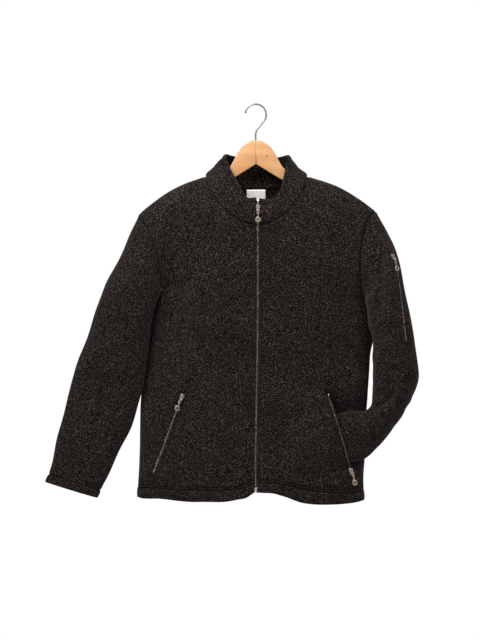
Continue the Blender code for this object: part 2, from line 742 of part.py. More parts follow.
def make_garment():
    points, normals, sleeves, collar, collar_normals = garment()
    first, last = pocket_rows()
    slot = {(row, POCKET_COLUMN) for row in range(first, last)}
    surfaces = {}
    for side in ("right", "left"):
        grid = points[side, "front"].copy()
        own = normals[side, "front"]
        surfaces[side] = (grid.copy(), own)
        pull_back(grid, own, "top")
        pull_back(grid, own, "right")
        wall("front_" + side, grid, own, band_thickness(len(grid), 2), "wool", holes=slot)
    back = np.concatenate([points["right", "back"][:, ::-1], points["left", "back"][:, 1:]], axis=1)
    back_normals = np.concatenate(
        [normals["right", "back"][:, ::-1], normals["left", "back"][:, 1:]], axis=1)
    middle = len(column_shares()) - 1
    back_normals[:, middle] = unit(back_normals[:, middle] * np.array([0, 1, 1]))
    surfaces["back"] = (back.copy(), back_normals)
    pull_back(back, back_normals, "top")
    pull_back(back, back_normals, "left")
    pull_back(back, back_normals, "right")
    wall("back", back, back_normals, band_thickness(len(back), 2), "wool")
    for side, (grid, own) in sleeves.items():
        surfaces["sleeve_" + side] = (grid.copy(), own)
        grid = grid.copy()
        ring = np.concatenate([grid, grid[:, :1]], axis=1)
        ring_normals = np.concatenate([own, own[:, :1]], axis=1)
        amount = np.full(len(ring[0]), SEAM_GAP / 2)
        amount[ARMHOLE_ROWS] = ARMPIT_GAP
        body = np.array([-side_sign(side), 0, 0])
        pull_back(ring, ring_normals, "top", amount, body)
        wall("sleeve_" + side, ring[:, :-1], own, band_thickness(len(grid), 1), "wool", wrap=True)
    surfaces["collar"] = (collar.copy(), collar_normals)
    pull_back(collar, collar_normals, "top")
    thickness = np.full(len(COLLAR_ROWS), DOUBLED)
    thickness[0] = CLOTH
    wall("collar", collar, collar_normals, thickness[:, None], "wool")
    surfaces["collar_thickness"] = thickness
    return surfaces


# Zips, label

def toward(points, from_column, to_column, reach):
    """Points on the straight line from one column towards another, at a distance."""
    start = points[:, from_column]
    step = points[:, to_column] - start
    length = np.linalg.norm(step, axis=-1, keepdims=True)
    return start + step / length * reach


def make_front_tapes(surfaces):
    collar, collar_normals = surfaces["collar"]
    for side, column, inner_column in (("right", 0, 1), ("left", -1, -2)):
        grid, own = surfaces[side]
        edge = np.vstack([collar[::-1][:-1][:, [column, inner_column]], grid[:, [0, 1]]])
        directions = np.vstack([collar_normals[::-1][:-1][:, [column, inner_column]],
                                own[:, [0, 1]]])
        depth = np.concatenate([surfaces["collar_thickness"][::-1][:-1],
                                band_thickness(len(grid), 2)[:, 0]])
        face = edge - directions * (depth[:, None, None] + TAPE_GAP)
        under = toward(face, 0, 1, ZIP_TAPE_REACH)
        inner_edge = toward(face, 0, 1, -(ZIP_HALF - TAPE_SPLIT))
        strip = np.stack([inner_edge, face[:, 0], under], axis=1)
        strip_normals = np.stack([directions[:, 0], directions[:, 0], directions[:, 0]], axis=1)
        wall("front_zip_tape_" + side, strip, strip_normals, TAPE, "zip_tape")


def slot_tape(name, grid, own, columns, gap=TAPE_GAP):
    """Zip tape behind a pocket's slot, from one column's side to the other's."""
    first, last = pocket_rows()
    rows = slice(first, last + 1)
    inside = grid[rows] - own[rows] * (CLOTH + gap)
    strips = []
    for kind, column, neighbour in columns:
        if kind == "lip":
            strips.append(inside[:, column])
        else:
            strips.append(toward(inside, column, neighbour, POCKET_TAPE_REACH))
    strip = np.stack(strips, axis=1)
    directions = np.stack([own[rows, column] for _, column, _ in columns], axis=1)
    wall(name, strip, directions, TAPE, "zip_tape")


def make_pocket_tapes(surfaces):
    lip = POCKET_COLUMN
    grid, own = surfaces["right"]
    slot_tape("pocket_zip_tape_right", grid, own,
              (("under", lip, lip - 1), ("lip", lip, None),
               ("lip", lip + 1, None), ("under", lip + 1, lip + 2)))
    grid, own = surfaces["left"]
    slot_tape("pocket_zip_tape_left_inner", grid, own,
              (("under", lip, lip - 1), ("lip", lip, None)), INNER_LIP_TAPE_GAP)
    slot_tape("pocket_zip_tape_left_outer", grid, own,
              (("lip", lip + 1, None), ("under", lip + 1, lip + 2)), OUTER_LIP_TAPE_GAP)


def sleeve_zip_rows(surfaces):
    """The sleeve pocket's line and the grid lines beside it."""
    grid, own = surfaces["sleeve_left"]
    low, high = SLEEVE_ZIP_ROWS
    columns = [SLEEVE_ZIP_COLUMN - 1, SLEEVE_ZIP_COLUMN, SLEEVE_ZIP_COLUMN + 1]
    return grid[low:high + 1, columns], own[low:high + 1, columns]


def make_sleeve_tape(surfaces):
    points, normals = sleeve_zip_rows(surfaces)
    strip = np.stack([toward(points, 1, 0, SLEEVE_TAPE_HALF), points[:, 1],
                      toward(points, 1, 2, SLEEVE_TAPE_HALF)], axis=1)
    directions = np.repeat(normals[:, 1:2], 3, axis=1)
    lifted = strip + directions * (SLEEVE_TAPE_LIFT + SLEEVE_TAPE)
    wall("sleeve_zip_tape", lifted, directions, SLEEVE_TAPE, "zip_tape")


def make_label(surfaces):
    """A blank cloth label below the back neck seam, on the inside of the back."""
    back, normals = surfaces["back"]
    middle = len(column_shares()) - 1
    seam = back[0, middle]
    columns = np.linspace(-LABEL_WIDTH / 2, LABEL_WIDTH / 2, 5)
    heights = np.linspace(seam[2] - LABEL_DROP, seam[2] - LABEL_DROP - LABEL_HEIGHT, 5)
    line = back[:, middle][::-1]
    line_normals = normals[:, middle][::-1]
    y = np.interp(heights, line[:, 2], line[:, 1])
    tilt = unit(np.column_stack([np.interp(heights, line[:, 2], line_normals[:, n])
                                 for n in range(3)]))
    grid = np.array([[(x, y[i], heights[i]) for x in columns] for i in range(len(heights))])
    directions = np.repeat(tilt[:, None], len(columns), axis=1)
    grid = grid - directions * (CLOTH + LABEL_SLACK)
    wall("label", grid, directions, LABEL_THICKNESS, "label_cloth")


# Hanger

def arm_outline(side):
    """Outline x, z of one half of the hanger, its top just under the shoulder seam."""
    neck_x = FRONT_NECK[-1][0]
    tip_x, tip_z = side_tables(side)[0][0]
    fall = (tip_z - NECK_TOP) / (abs(tip_x) - neck_x)
    under = CLOTH / MM / math.cos(math.atan(fall)) + ARM_CLEARANCE
    seats = [(x, NECK_TOP + (x - neck_x) * fall - under) for x in ARM_SEATS]
    top = np.array(ARM_TOP + seats, float)
    top = hermite(top[:, 0], top, np.linspace(top[0, 0], top[-1, 0], 26))
    tip_low = (ARM_SEATS[-1], seats[-1][1] - ARM_DEPTH_AT_TIP)
    bottom = np.array(ARM_BOTTOM + [tip_low], float)
    bottom = hermite(bottom[:, 0], bottom, np.linspace(bottom[0, 0], bottom[-1, 0], 9))
    centre = (top[-1] + bottom[-1]) / 2
    radius = np.linalg.norm(top[-1] - bottom[-1]) / 2
    start = math.atan2(*(top[-1] - centre)[::-1])
    turns = start - np.linspace(0, math.pi, 9)[1:-1]
    nose = np.column_stack([centre[0] + radius * np.cos(turns), centre[1] + radius * np.sin(turns)])
    outline = np.vstack([top, nose, bottom[::-1]])
    outline[:, 0] *= side_sign(side)
    return outline * MM


def make_arm(side, bore):
    """Half of the wooden hanger: a flat outline with thickness and rounded edges."""
    curve = bpy.data.curves.new("arm_outline", "CURVE")
    curve.dimensions = "2D"
    curve.fill_mode = "BOTH"
    curve.extrude = ARM_THICKNESS / 2
    outline = arm_outline(side)
    spline = curve.splines.new("POLY")
    spline.points.add(len(outline) - 1)
    for point, (x, z) in zip(spline.points, outline):
        point.co = (x, z, 0, 1)
    spline.use_cyclic_u = True
    flat = bpy.data.objects.new("arm_outline", curve)
    flat.matrix_world = Matrix.Rotation(math.pi / 2, 4, "X")
    mesh = mesh_of(flat)
    mesh.transform(flat.matrix_world)
    bpy.data.objects.remove(flat)
    item = add_object("hanger_arm_" + side, mesh, "pine")
    rounding = item.modifiers.new("rounded edges", "BEVEL")
    rounding.width = ARM_EDGE
    rounding.segments = 3
    rounding.limit_method = "ANGLE"
    rounding.angle_limit = math.radians(60)
    cut = item.modifiers.new("bore for the hook", "BOOLEAN")
    cut.operation = "DIFFERENCE"
    cut.object = bore
    return item


def mesh_of(item):
    """The evaluated mesh of an object, with doubled points welded."""
    scene_link = item.name not in bpy.context.scene.collection.objects
    if scene_link and not item.users_collection:
        bpy.context.scene.collection.objects.link(item)
    bpy.context.view_layer.update()
    graph = bpy.context.evaluated_depsgraph_get()
    mesh = bpy.data.meshes.new_from_object(item.evaluated_get(graph))
    shape = bmesh.new()
    shape.from_mesh(mesh)
    bmesh.ops.remove_doubles(shape, verts=shape.verts, dist=1e-6)
    shape.to_mesh(mesh)
    shape.free()
    return mesh


def make_hook_bore():
    bpy.ops.mesh.primitive_cylinder_add(vertices=16, radius=HOOK_BORE, depth=HOOK_BORE_LENGTH)
    bore = bpy.context.active_object
    bore.name = "hook_bore"
    bore.location = (HOOK_CENTRE[0], 0, HOOK_FOOT - HOOK_BORE_FOOT + HOOK_BORE_LENGTH / 2)
    for collection in list(bore.users_collection):
        collection.objects.unlink(bore)
    make_collection("cutters").objects.link(bore)
    bore.hide_render = True
    bore.display_type = "WIRE"
    return bore


def make_hook():
    """Wire hook: an open loop, then a bend back to the stem that goes into the wood."""
    x0, z0 = HOOK_CENTRE
    turns = np.radians(np.linspace(*HOOK_TURNS, 19))
    loop = [(x0 + HOOK_RADIUS * math.cos(a), z0 + HOOK_RADIUS * math.sin(a)) for a in turns]
    bend = [(x * MM, z * MM) for x, z in HOOK_BEND]
    route = [Vector((x, 0, z)) for x, z in loop + bend]
    curve = bpy.data.curves.new("hook", "CURVE")
    curve.dimensions = "3D"
    curve.bevel_depth = WIRE
    curve.bevel_resolution = 3
    curve.use_fill_caps = True
    spline = curve.splines.new("POLY")
    spline.points.add(len(route) - 1)
    for point, place in zip(spline.points, route):
        point.co = (*place, 1)
    return add_object("hook", curve, "steel")


# Sliders and pull tabs

def tool_box(size, centre):
    bpy.ops.mesh.primitive_cube_add(size=1, location=centre)
    item = bpy.context.active_object
    item.scale = size
    bpy.ops.object.transform_apply(location=True, rotation=False, scale=True)
    return item


def tool_cylinder(radius, length, centre, axis, segments=16):
    turn = {"X": (0, math.pi / 2, 0), "Z": (0, 0, 0)}[axis]
    bpy.ops.mesh.primitive_cylinder_add(vertices=segments, radius=radius, depth=length,
                                        location=centre, rotation=turn)
    item = bpy.context.active_object
    bpy.ops.object.transform_apply(location=True, rotation=True, scale=True)
    return item


def combine(base, steps):
    """Joins and cuts simple shapes into one mesh, and removes the tools."""
    for operation, item in steps:
        change = base.modifiers.new(operation, "BOOLEAN")
        change.operation = operation
        change.object = item
    mesh = mesh_of(base)
    for item in [base] + [item for _, item in steps]:
        bpy.data.objects.remove(item, do_unlink=True)
    return mesh


def slider_mesh():
    """Slider plate with two ears and the pin across them; x across the zip, y up it, z out."""
    plate = tool_box(SLIDER_SIZE, (0, 0, SLIDER_SIZE[2] / 2))
    rounding = plate.modifiers.new("rounded edges", "BEVEL")
    rounding.width = SLIDER_EDGE
    rounding.segments = 2
    ear_height = PIN_HEIGHT + PIN_RADIUS + EAR_RIM
    steps = []
    for side in (-1, 1):
        size = (EAR_SIZE[0], EAR_SIZE[1], ear_height - SLIDER_SIZE[2] / 2)
        centre = (side * EAR_PLACE, -PIN_DOWN, (ear_height + SLIDER_SIZE[2] / 2) / 2)
        steps.append(("UNION", tool_box(size, centre)))
    pin_length = 2 * EAR_PLACE
    pin_centre = (0, -PIN_DOWN, PIN_HEIGHT)
    steps.append(("UNION", tool_cylinder(PIN_RADIUS, pin_length, pin_centre, "X", 12)))
    return combine(plate, steps)


def pull_mesh():
    """Pull tab with a hole, hanging in -y from its knuckle round the pin at the origin."""
    reach = TAB_LENGTH - TAB_RING_RADIUS - KNUCKLE_RADIUS
    disc = tool_cylinder(TAB_RING_RADIUS, TAB_THICKNESS, (0, -reach, 0), "Z", 28)
    neck = tool_box((TAB_NECK_WIDTH, reach, TAB_THICKNESS), (0, -reach / 2, 0))
    knuckle = tool_cylinder(KNUCKLE_RADIUS, KNUCKLE_LENGTH, (0, 0, 0), "X", 16)
    bore = tool_cylinder(KNUCKLE_BORE, 4 * KNUCKLE_LENGTH, (0, 0, 0), "X", 12)
    hole = tool_cylinder(TAB_HOLE_RADIUS, 4 * TAB_THICKNESS, (0, -reach, 0), "Z", 20)
    steps = [("UNION", neck)]
    block = 4 * KNUCKLE_LENGTH
    for side in (-1, 1):
        centre = (side * (KNUCKLE_LENGTH + block) / 2, 0, 0)
        steps.append(("DIFFERENCE", tool_box((block, 2 * EAR_ROOM, 4 * EAR_ROOM), centre)))
    steps += [("UNION", knuckle), ("DIFFERENCE", bore), ("DIFFERENCE", hole)]
    return combine(disc, steps)


def hanging_frame(place, normal, run):
    """A frame on the cloth whose pin lies across the zip and whose -y hangs straight down."""
    across = Vector(np.cross(run, normal)).normalized()
    down = Vector((0, 0, -1))
    down = (down - across * down.dot(across)).normalized()
    frame = Matrix((across, -down, across.cross(-down))).transposed().to_4x4()
    frame.translation = Vector(place)
    return frame


def between(values, places, at):
    """Rows of points or directions read at a place between the rows."""
    return np.array([np.interp(at, places, values[:, n]) for n in range(values.shape[1])])


def zip_places(surfaces):
    """Place, outward direction and upward run of the zip at each of the four sliders."""
    collar, collar_normals = surfaces["collar"]
    middle = (collar[:, 0] + collar[:, -1]) / 2
    out = unit(collar_normals[:, 0] + collar_normals[:, -1])
    place = between(middle, COLLAR_ROWS, FRONT_SLIDER_PLACE)
    places = {"front": (place, between(out, COLLAR_ROWS, FRONT_SLIDER_PLACE),
                        middle[-1] - middle[0])}
    first, last = pocket_rows()
    for side, row in (("right", first + RIGHT_SLIDER_PLACE), ("left", last + LEFT_SLIDER_PLACE)):
        grid, own = surfaces[side]
        rows = np.arange(len(grid))
        lips = slice(POCKET_COLUMN, POCKET_COLUMN + 2)
        line = grid[:, lips].mean(axis=1)
        out = own[:, lips].mean(axis=1)
        places["pocket_" + side] = (between(line, rows, row), between(out, rows, row),
                                    line[first] - line[last])
    points, normals = sleeve_zip_rows(surfaces)
    rows = np.arange(len(points))
    lift = normals[0, 1] * (SLEEVE_TAPE_LIFT + SLEEVE_TAPE)
    places["sleeve"] = (between(points[:, 1], rows, SLEEVE_SLIDER_PLACE) + lift,
                        between(normals[:, 1], rows, SLEEVE_SLIDER_PLACE),
                        points[0, 1] - points[1, 1])
    return places


def make_zip_hardware(surfaces):
    slider = slider_mesh()
    pull = pull_mesh()
    for name, (place, normal, run) in zip_places(surfaces).items():
        normal = unit(np.asarray(normal))
        frame = hanging_frame(place + normal * SLIDER_LIFT[name] * MM, normal, run)
        frame = frame @ Matrix.Rotation(-math.radians(SLIDER_LEAN[name]), 4, "X")
        item = add_object("slider_" + name, slider.copy(), "copper")
        item.matrix_world = frame
        item = add_object("pull_" + name, pull.copy(), "copper")
        item.matrix_world = frame @ Matrix.Translation((0, -PIN_DOWN, PIN_HEIGHT))


def main():
    clear_scene()
    surfaces = make_garment()
    make_front_tapes(surfaces)
    make_pocket_tapes(surfaces)
    make_sleeve_tape(surfaces)
    make_label(surfaces)
    bore = make_hook_bore()
    make_arm("right", bore)
    make_arm("left", bore)
    make_hook()
    make_zip_hardware(surfaces)


main()
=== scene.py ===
"""Looks of the boiled-wool jacket on its wooden hanger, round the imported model.

Metres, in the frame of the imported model: +Z up, the jacket's front towards -Y, the wearer's right
towards -X. The tables and surfaces of the cloth repeat those of the model's own source. Here they are
drawn finer, with the creases, rolled edges, sewing, zip teeth and finishes that the solids leave out.
"""
import math

import bmesh
import bpy
import numpy as np
from mathutils import Matrix, Vector


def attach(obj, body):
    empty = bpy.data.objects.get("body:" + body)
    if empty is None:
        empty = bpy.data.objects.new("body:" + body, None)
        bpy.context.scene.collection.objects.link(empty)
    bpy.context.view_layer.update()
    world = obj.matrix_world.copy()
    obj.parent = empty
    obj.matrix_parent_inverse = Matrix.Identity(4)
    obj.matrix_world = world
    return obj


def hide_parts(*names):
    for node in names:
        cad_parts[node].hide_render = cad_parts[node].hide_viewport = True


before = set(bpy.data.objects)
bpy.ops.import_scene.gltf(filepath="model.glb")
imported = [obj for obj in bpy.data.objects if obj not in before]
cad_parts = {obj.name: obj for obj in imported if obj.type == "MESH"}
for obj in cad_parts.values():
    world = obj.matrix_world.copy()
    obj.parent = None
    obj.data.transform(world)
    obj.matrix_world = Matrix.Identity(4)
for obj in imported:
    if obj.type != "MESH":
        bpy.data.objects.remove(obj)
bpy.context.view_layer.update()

MM = 0.001

# Cloth and seams
CLOTH = 2.8 * MM
DOUBLED = 5.0 * MM
HEM_BAND = 23 * MM
SEAM_GAP = 0.3 * MM
TAPE = 0.8 * MM

# How far the hung cloth stands in front of the hanger's plane and behind it
# Columns: height z, front, back
BODY_DEPTH = [
    (-155, 50, 40),
    (-300, 52, 43),
    (-450, 50, 43),
    (-650, 46, 41),
    (-875, 44, 39),
]
SHOULDER_FALL = 115 * MM
SIDE_ROUNDNESS = 3.2
ARMHOLE_FALL = 85 * MM
ARMHOLE_FULLNESS = 0.8
ARMPIT_SOFTNESS = 0.9
# The shoulder line goes on past the tip by this share of its length
SHOULDER_END = 1.5
# The side seam's own y reaches the panel's middle by this power, and folds fade beside the seam
SIDE_SEAM_POWER = 6
FOLD_CALM_SHARE = 0.15

# Grid of a half panel: columns from the centre edge to the side, rows from the shoulder to the hem
NECK_COLUMNS = 6
SHOULDER_COLUMNS = 8
NECK_SHARE = 0.43
ARMHOLE_ROWS = 10
POCKET_COLUMN = 8
# Rows from the armpit to the pocket, along the pocket, to the hem's band and along the band
SIDE_ROWS = (7, 6, 2, 2)

# Neckline of one half, from the centre front to the shoulder. Columns: x from the middle, drop
FRONT_NECK = [(0, 108), (22, 104), (45, 92), (68, 75), (87, 54), (97, 40), (106, 18), (111.5, 0)]
BACK_NECK = [(0, 27), (45, 24), (80, 15), (111.5, 0)]
NECK_TOP = -157

# Zip down the front. Columns: height z, x
FRONT_ZIP_LINE = [(-200, 3.3), (-265, 3.2), (-511, 2.6), (-649, 0.4), (-781, -1.3), (-860, -1.3)]
ZIP_HALF = 3.2 * MM
ZIP_TAPE_REACH = 11 * MM
TAPE_SPLIT = 0.4 * MM
TAPE_GAP = 0.45 * MM
INNER_LIP_TAPE_GAP = 1.2 * MM
OUTER_LIP_TAPE_GAP = 2.4 * MM

# Outlines of the wearer's right half. Columns: x, z
RIGHT_ARMHOLE = [
    (-256.5, -237.6), (-251.7, -254.1), (-236.9, -277.2), (-222.6, -308.0),
    (-214.9, -334.4), (-209.4, -367.4), (-208.3, -404.8),
]
# Columns: x, z, y of the side seam
RIGHT_SIDE = [
    (-208.3, -404.8, 0), (-213, -415, 5), (-221, -431, 11), (-232.5, -482, 16),
    (-240, -528, 16), (-247, -596, 13), (-252.5, -651, 6), (-254, -737, 0), (-257, -814, 0),
    (-260, -862, 0),
]
RIGHT_HEM = [
    (-260, -862), (-252, -864.5), (-220, -865), (-185, -868), (-160, -871), (-110, -871.5),
    (-62, -870.5), (-44, -867), (-27, -864), (-12, -858), (-4, -851),
]

# Outlines of the wearer's left half, which the bent sleeve pulls a little lower
LEFT_ARMHOLE = [
    (263.1, -233.2), (248.2, -248.6), (239.4, -270.6), (232.1, -297.0),
    (227.3, -343.2), (227.9, -385.0), (232.0, -415.0), (241.6, -431.0),
]
LEFT_SIDE = [
    (241.6, -431, 0), (246, -443, 5), (251, -462, 11), (255.5, -490, 14), (255, -524, 12),
    (250.4, -545, 7), (247.5, -585, 2), (242.5, -650, 0), (237.5, -737, 0), (234, -800, 0),
    (236, -869, 0),
]
LEFT_HEM = [
    (3, -851), (14, -852), (28, -851.5), (46, -855.5), (70, -863), (96, -872.5), (125, -877),
    (160, -878), (200, -876), (220, -873.5), (236, -869),
]

# Side pockets, each a slanted zip. Columns: x, z
RIGHT_POCKET_LINE = [(-159.7, -633.6), (-192, -719), (-225.7, -807.4)]
LEFT_POCKET_LINE = [(158.5, -634.9), (173.4, -680.5), (201.7, -771.5), (208.6, -798.6)]
POCKET_HALF = 3.0 * MM
POCKET_TAPE_REACH = 8 * MM

# The left pocket gapes round the forearm that goes into it
GAPE_CENTRE = -0.717
GAPE_HALF = 0.0815
GAPE_FRONT = -62 * MM
GAPE_BACK = -14 * MM
GAPE_FADE = 125 * MM

# Largest folds. Depth is inwards when positive. Columns: x and z of both ends, width, depth
FRONT_FOLDS = [
    (-190, -318, -172, -505, 17, 9),
    (-150, -455, -60, -640, 42, 6),
    (-50, -330, -110, -450, 45, -4),
    (175, -300, 205, -470, 26, 5),
    (90, -655, 30, -800, 30, 6),
    (115, -700, 70, -850, 26, -6),
    (-215, -560, -130, -600, 30, -4),
]
BACK_FOLDS = [
    (-185, -300, -165, -500, 22, 8),
    (185, -310, 165, -520, 24, 8),
    (-95, -420, -120, -780, 45, 6),
    (80, -450, 110, -800, 45, 6),
    (0, -380, 10, -620, 50, -4),
]

# Sections of the right sleeve, which hangs straight, below the armhole
# Columns: x and z of the outer edge, width, slope of the section in degrees,
#          y of the outer edge, y of the inner edge, half depth, turn of the grid in degrees
RIGHT_SLEEVE = [
    (-275.4, -280.5, 143.9, 62.5, -3, -6, 41, 0),
    (-294.1, -321.2, 124.2, 48.1, -5, -12, 41, 0),
    (-312.8, -360.8, 115.5, 31.2, -6, -16, 40, 0),
    (-331.5, -396.0, 118.5, 18.9, -7, -18, 38, 0),
    (-350.2, -446.6, 127.2, 19.2, -7, -18, 35, 0),
    (-374.4, -512.6, 142.0, 19.4, -6, -17, 31, 0),
    (-395.3, -574.2, 153.5, 19.2, -4, -14, 28, 0),
    (-414.0, -644.6, 152.5, 18.2, -2, -9, 26, 0),
    (-430.5, -706.2, 143.3, 17.9, 0, -4, 24, 0),
    (-445.9, -770.0, 129.4, 17.8, 0, 0, 21, 0),
    (-457.7, -808.2, 122.4, 17.3, 0, 0, 19, 0),
    (-464.4, -829.4, 119.7, 17.1, 0, 0, 18, 0),
]

# Sections of the left sleeve, bent at the elbow, its forearm in front of the body
LEFT_SLEEVE = [
    (285.6, -275.0, 164.1, 74.8, -8, -10, 44, -8),
    (301.0, -310.2, 138.4, 66.1, -15, -19, 47, -12),
    (314.2, -354.2, 111.0, 52.9, -18, -22, 48, -12),
    (324.1, -398.2, 95.0, 37.8, -19, -23, 48, -8),
    (335.1, -459.8, 86.3, 15.1, -20, -24, 48, 0),
    (347.2, -517.0, 90.5, 5.6, -21, -24, 48, 8),
    (352.7, -565.4, 94.8, 1.3, -22, -24, 48, 8),
    (353.8, -605.0, 96.4, 0.0, -23, -25, 47, 4),
    (342.8, -642.4, 87.2, -4.3, -27, -29, 44, 0),
    (325.2, -677.6, 76.9, -16.6, -33, -35, 39, 0),
    (301.0, -712.8, 77.5, -34.6, -39, -39, 32, 0),
    (265.8, -750.2, 94.3, -55.9, -41, -41, 24, 0),
    (237.2, -774.4, 108.5, -67.3, -39, -39, 19, 0),
    (208.6, -784.3, 110.6, -72.6, -37, -37, 16, 0),
    (188.0, -790.0, 106.0, -70.7, -34, -34, 15, 0),
    (163.0, -801.0, 104.0, -69.1, -30, -30, 14, 0),
]

# Folds on the front of the sleeves, given like the body's
LEFT_SLEEVE_FOLDS = [
    (268, -312, 272, -455, 11, 12),
    (277, -548, 308, -552, 12, 6),
    (256, -648, 292, -640, 9, 7),
    (292, -600, 335, -640, 14, 5),
    (300, -668, 330, -640, 12, -3),
]
RIGHT_SLEEVE_FOLDS = [
    (-268, -430, -330, -470, 22, 4),
    (-290, -560, -350, -590, 26, 4),
    (-330, -660, -390, -650, 26, 4),
    (-395, -790, -410, -700, 20, 3),
]

# Sleeve pocket: it follows one line of the left sleeve's grid
SLEEVE_ZIP_COLUMN = 3
SLEEVE_ZIP_ROWS = (2, 6)
SLEEVE_TAPE_HALF = 4.5 * MM
SLEEVE_TAPE = 1.0 * MM
SLEEVE_TAPE_LIFT = 0.6 * MM

# Top edge of the stand collar, from the centre front to the centre back. Columns: x, y, z
COLLAR_TOP_RIGHT = [
    (0, -50, -209), (-21, -49, -207), (-31, -46, -190), (-48, -35, -157), (-60, -20, -134),
    (-69.7, 0, -107), (-62, 18, -108.5), (-45, 31, -112), (-22, 38, -115.5), (0, 40, -116.5),
]
COLLAR_TOP_LEFT = [
    (3.3, -50, -211), (26, -49, -209.5), (45, -46, -204.6), (54.6, -42, -190), (64, -32, -157),
    (68.5, -18, -134), (74.4, 0, -110), (66, 18, -110), (49, 31, -114), (24, 38, -116),
    (0, 40, -116.5),
]
COLLAR_ROWS = [0.0, 0.3, 0.65, 1.0]
COLLAR_BULGE = 5 * MM
COLLAR_ZIP_FADE = 4

# Neck label
LABEL_WIDTH = 42 * MM
LABEL_HEIGHT = 40 * MM
LABEL_THICKNESS = 0.6 * MM
LABEL_DROP = 4 * MM
LABEL_SLACK = 0.45 * MM

# Wooden hanger in two halves with a wire hook
ARM_THICKNESS = 13 * MM
ARM_EDGE = 5 * MM
ARM_DEPTH_AT_TIP = 30
ARM_CLEARANCE = 4.6
# Places x where the top edge runs just under the shoulder seam, the last at the rounded tip
ARM_SEATS = (140, 170, 201)
ARM_TOP_STEPS = 26
ARM_LOW_STEPS = 9
# Columns: x from the middle, z of the top edge
ARM_TOP = [
    (0.3, -77), (12, -79), (24, -87), (34, -94), (44, -111), (57, -135), (75, -149), (95, -162),
    (112, -170),
]
# Columns: x from the middle, z of the lower edge
ARM_BOTTOM = [(0.3, -130), (45, -158), (100, -188)]
WIRE = 1.85 * MM
HOOK_RADIUS = 23 * MM
HOOK_CENTRE = (-1.0 * MM, -21.15 * MM)
HOOK_TURNS = (168, -48)
# The bend from the loop back to the stem. Columns: x, z
HOOK_BEND = [(9.0, -45.5), (4.0, -51.5), (0.6, -57), (-1.0, -63), (-1.0, -76), (-1.0, -98)]

# Slider and pull tab, about a pin that lies across the zip
SLIDER_SIZE = (9 * MM, 14 * MM, 2.6 * MM)
EAR_SIZE = (1.1 * MM, 3.4 * MM)
EAR_PLACE = 2.6 * MM
EAR_RIM = 0.4 * MM
PIN_RADIUS = 0.7 * MM
PIN_HEIGHT = 4.8 * MM
PIN_DOWN = 5.0 * MM
KNUCKLE_RADIUS = 1.75 * MM
KNUCKLE_LENGTH = 3.4 * MM
TAB_THICKNESS = 1.6 * MM
TAB_LENGTH = 29 * MM
TAB_RING_RADIUS = 6.2 * MM
TAB_HOLE_RADIUS = 2.3 * MM
SLIDER_LIFT = {"front": 1.0, "pocket_right": 2.3, "pocket_left": 2.6, "sleeve": 2.6}
# Degrees by which the cloth below leans the slider and its pull outwards
SLIDER_LEAN = {"front": 0, "pocket_right": 0, "pocket_left": 0, "sleeve": 8}
FRONT_SLIDER_PLACE = 0.67
RIGHT_SLIDER_PLACE = 0.3
LEFT_SLIDER_PLACE = 0.2
SLEEVE_SLIDER_PLACE = 0.25

# How finely the cloth is drawn: parts to each cell of the coarse grids
ROW_PARTS = 5
FINE_HEM_ROWS = 4
HEM_PARTS = 6
HEM_ROWS = 2
COLUMN_PARTS = 5
RING_PARTS = 8
COLLAR_PARTS = 9
# Distances from an edge at which extra lines of points shape its roll
EDGE_STEPS = (0.4 * MM, 1.2 * MM, 2.4 * MM)
GROOVE_STEPS = (-3.2 * MM, -2.2 * MM, -1.4 * MM, -0.7 * MM, 0.0, 0.7 * MM, 1.4 * MM, 2.2 * MM, 3.2 * MM)
ROLL_SHARE = 0.82
# Lines closer than this many decimals are one, and this many rows carry a ring on past its start
LINE_DECIMALS = 5
RING_OVERLAP = 3
# Rows over which the two lips of a pocket join again above and below it
SLOT_FADE_ROWS = 1.5
NEARLY = 1e-6
TINY = 1e-12
# Below the armpit the side seam is pressed flat: distances from it count this many times
SIDE_PRESSED = 5
# Sewn edges meet in scene and lie a little in. Columns of the dent: half width, depth
SEAM_OVERLAP = 0.3 * MM
ARMPIT_OVERLAP = 2.2 * MM
SEAM_DENT = (2.4 * MM, 2.2 * MM)
ARMHOLE_FIT_ROWS = 1.5
CREASE_FADE = 16 * MM
LEAST_WALL = 0.35 * MM
# Dent depth at which the painted shade in a sewn groove is full
GROOVE_SHADE_DEPTH = 1.8 * MM

# Creases added to the large folds, in millimetres. Columns: x and z of both ends, width, depth
FRONT_CREASES = [
    (-196, -345, -150, -470, 9, 2.2),
    (-205, -395, -168, -560, 12, 2.0),
    (-120, -265, -165, -330, 26, 1.8),
    (-60, -250, -95, -300, 20, -1.2),
    (-215, -470, -205, -640, 14, -2.0),
    (-95, -560, -135, -700, 24, 1.8),
    (-175, -820, -95, -780, 16, 1.2),
    (-70, -700, -60, -845, 22, 1.6),
    (-225, -700, -235, -840, 12, 1.5),
    (-35, -430, -30, -640, 26, -1.4),
    (215, -330, 190, -440, 9, 2.4),
    (228, -400, 196, -560, 12, 2.4),
    (120, -255, 168, -330, 24, 1.8),
    (62, -262, 98, -345, 20, -1.3),
    (150, -470, 110, -640, 22, 2.0),
    (232, -520, 215, -640, 12, -1.8),
    (40, -560, 52, -760, 20, 1.4),
    (150, -690, 95, -735, 10, 2.4),
    (160, -745, 80, -790, 11, -2.4),
    (180, -795, 100, -822, 11, 2.6),
    (200, -820, 130, -852, 9, -1.8),
    (60, -800, 75, -866, 16, 1.6),
    (165, -655, 120, -670, 8, 1.6),
]
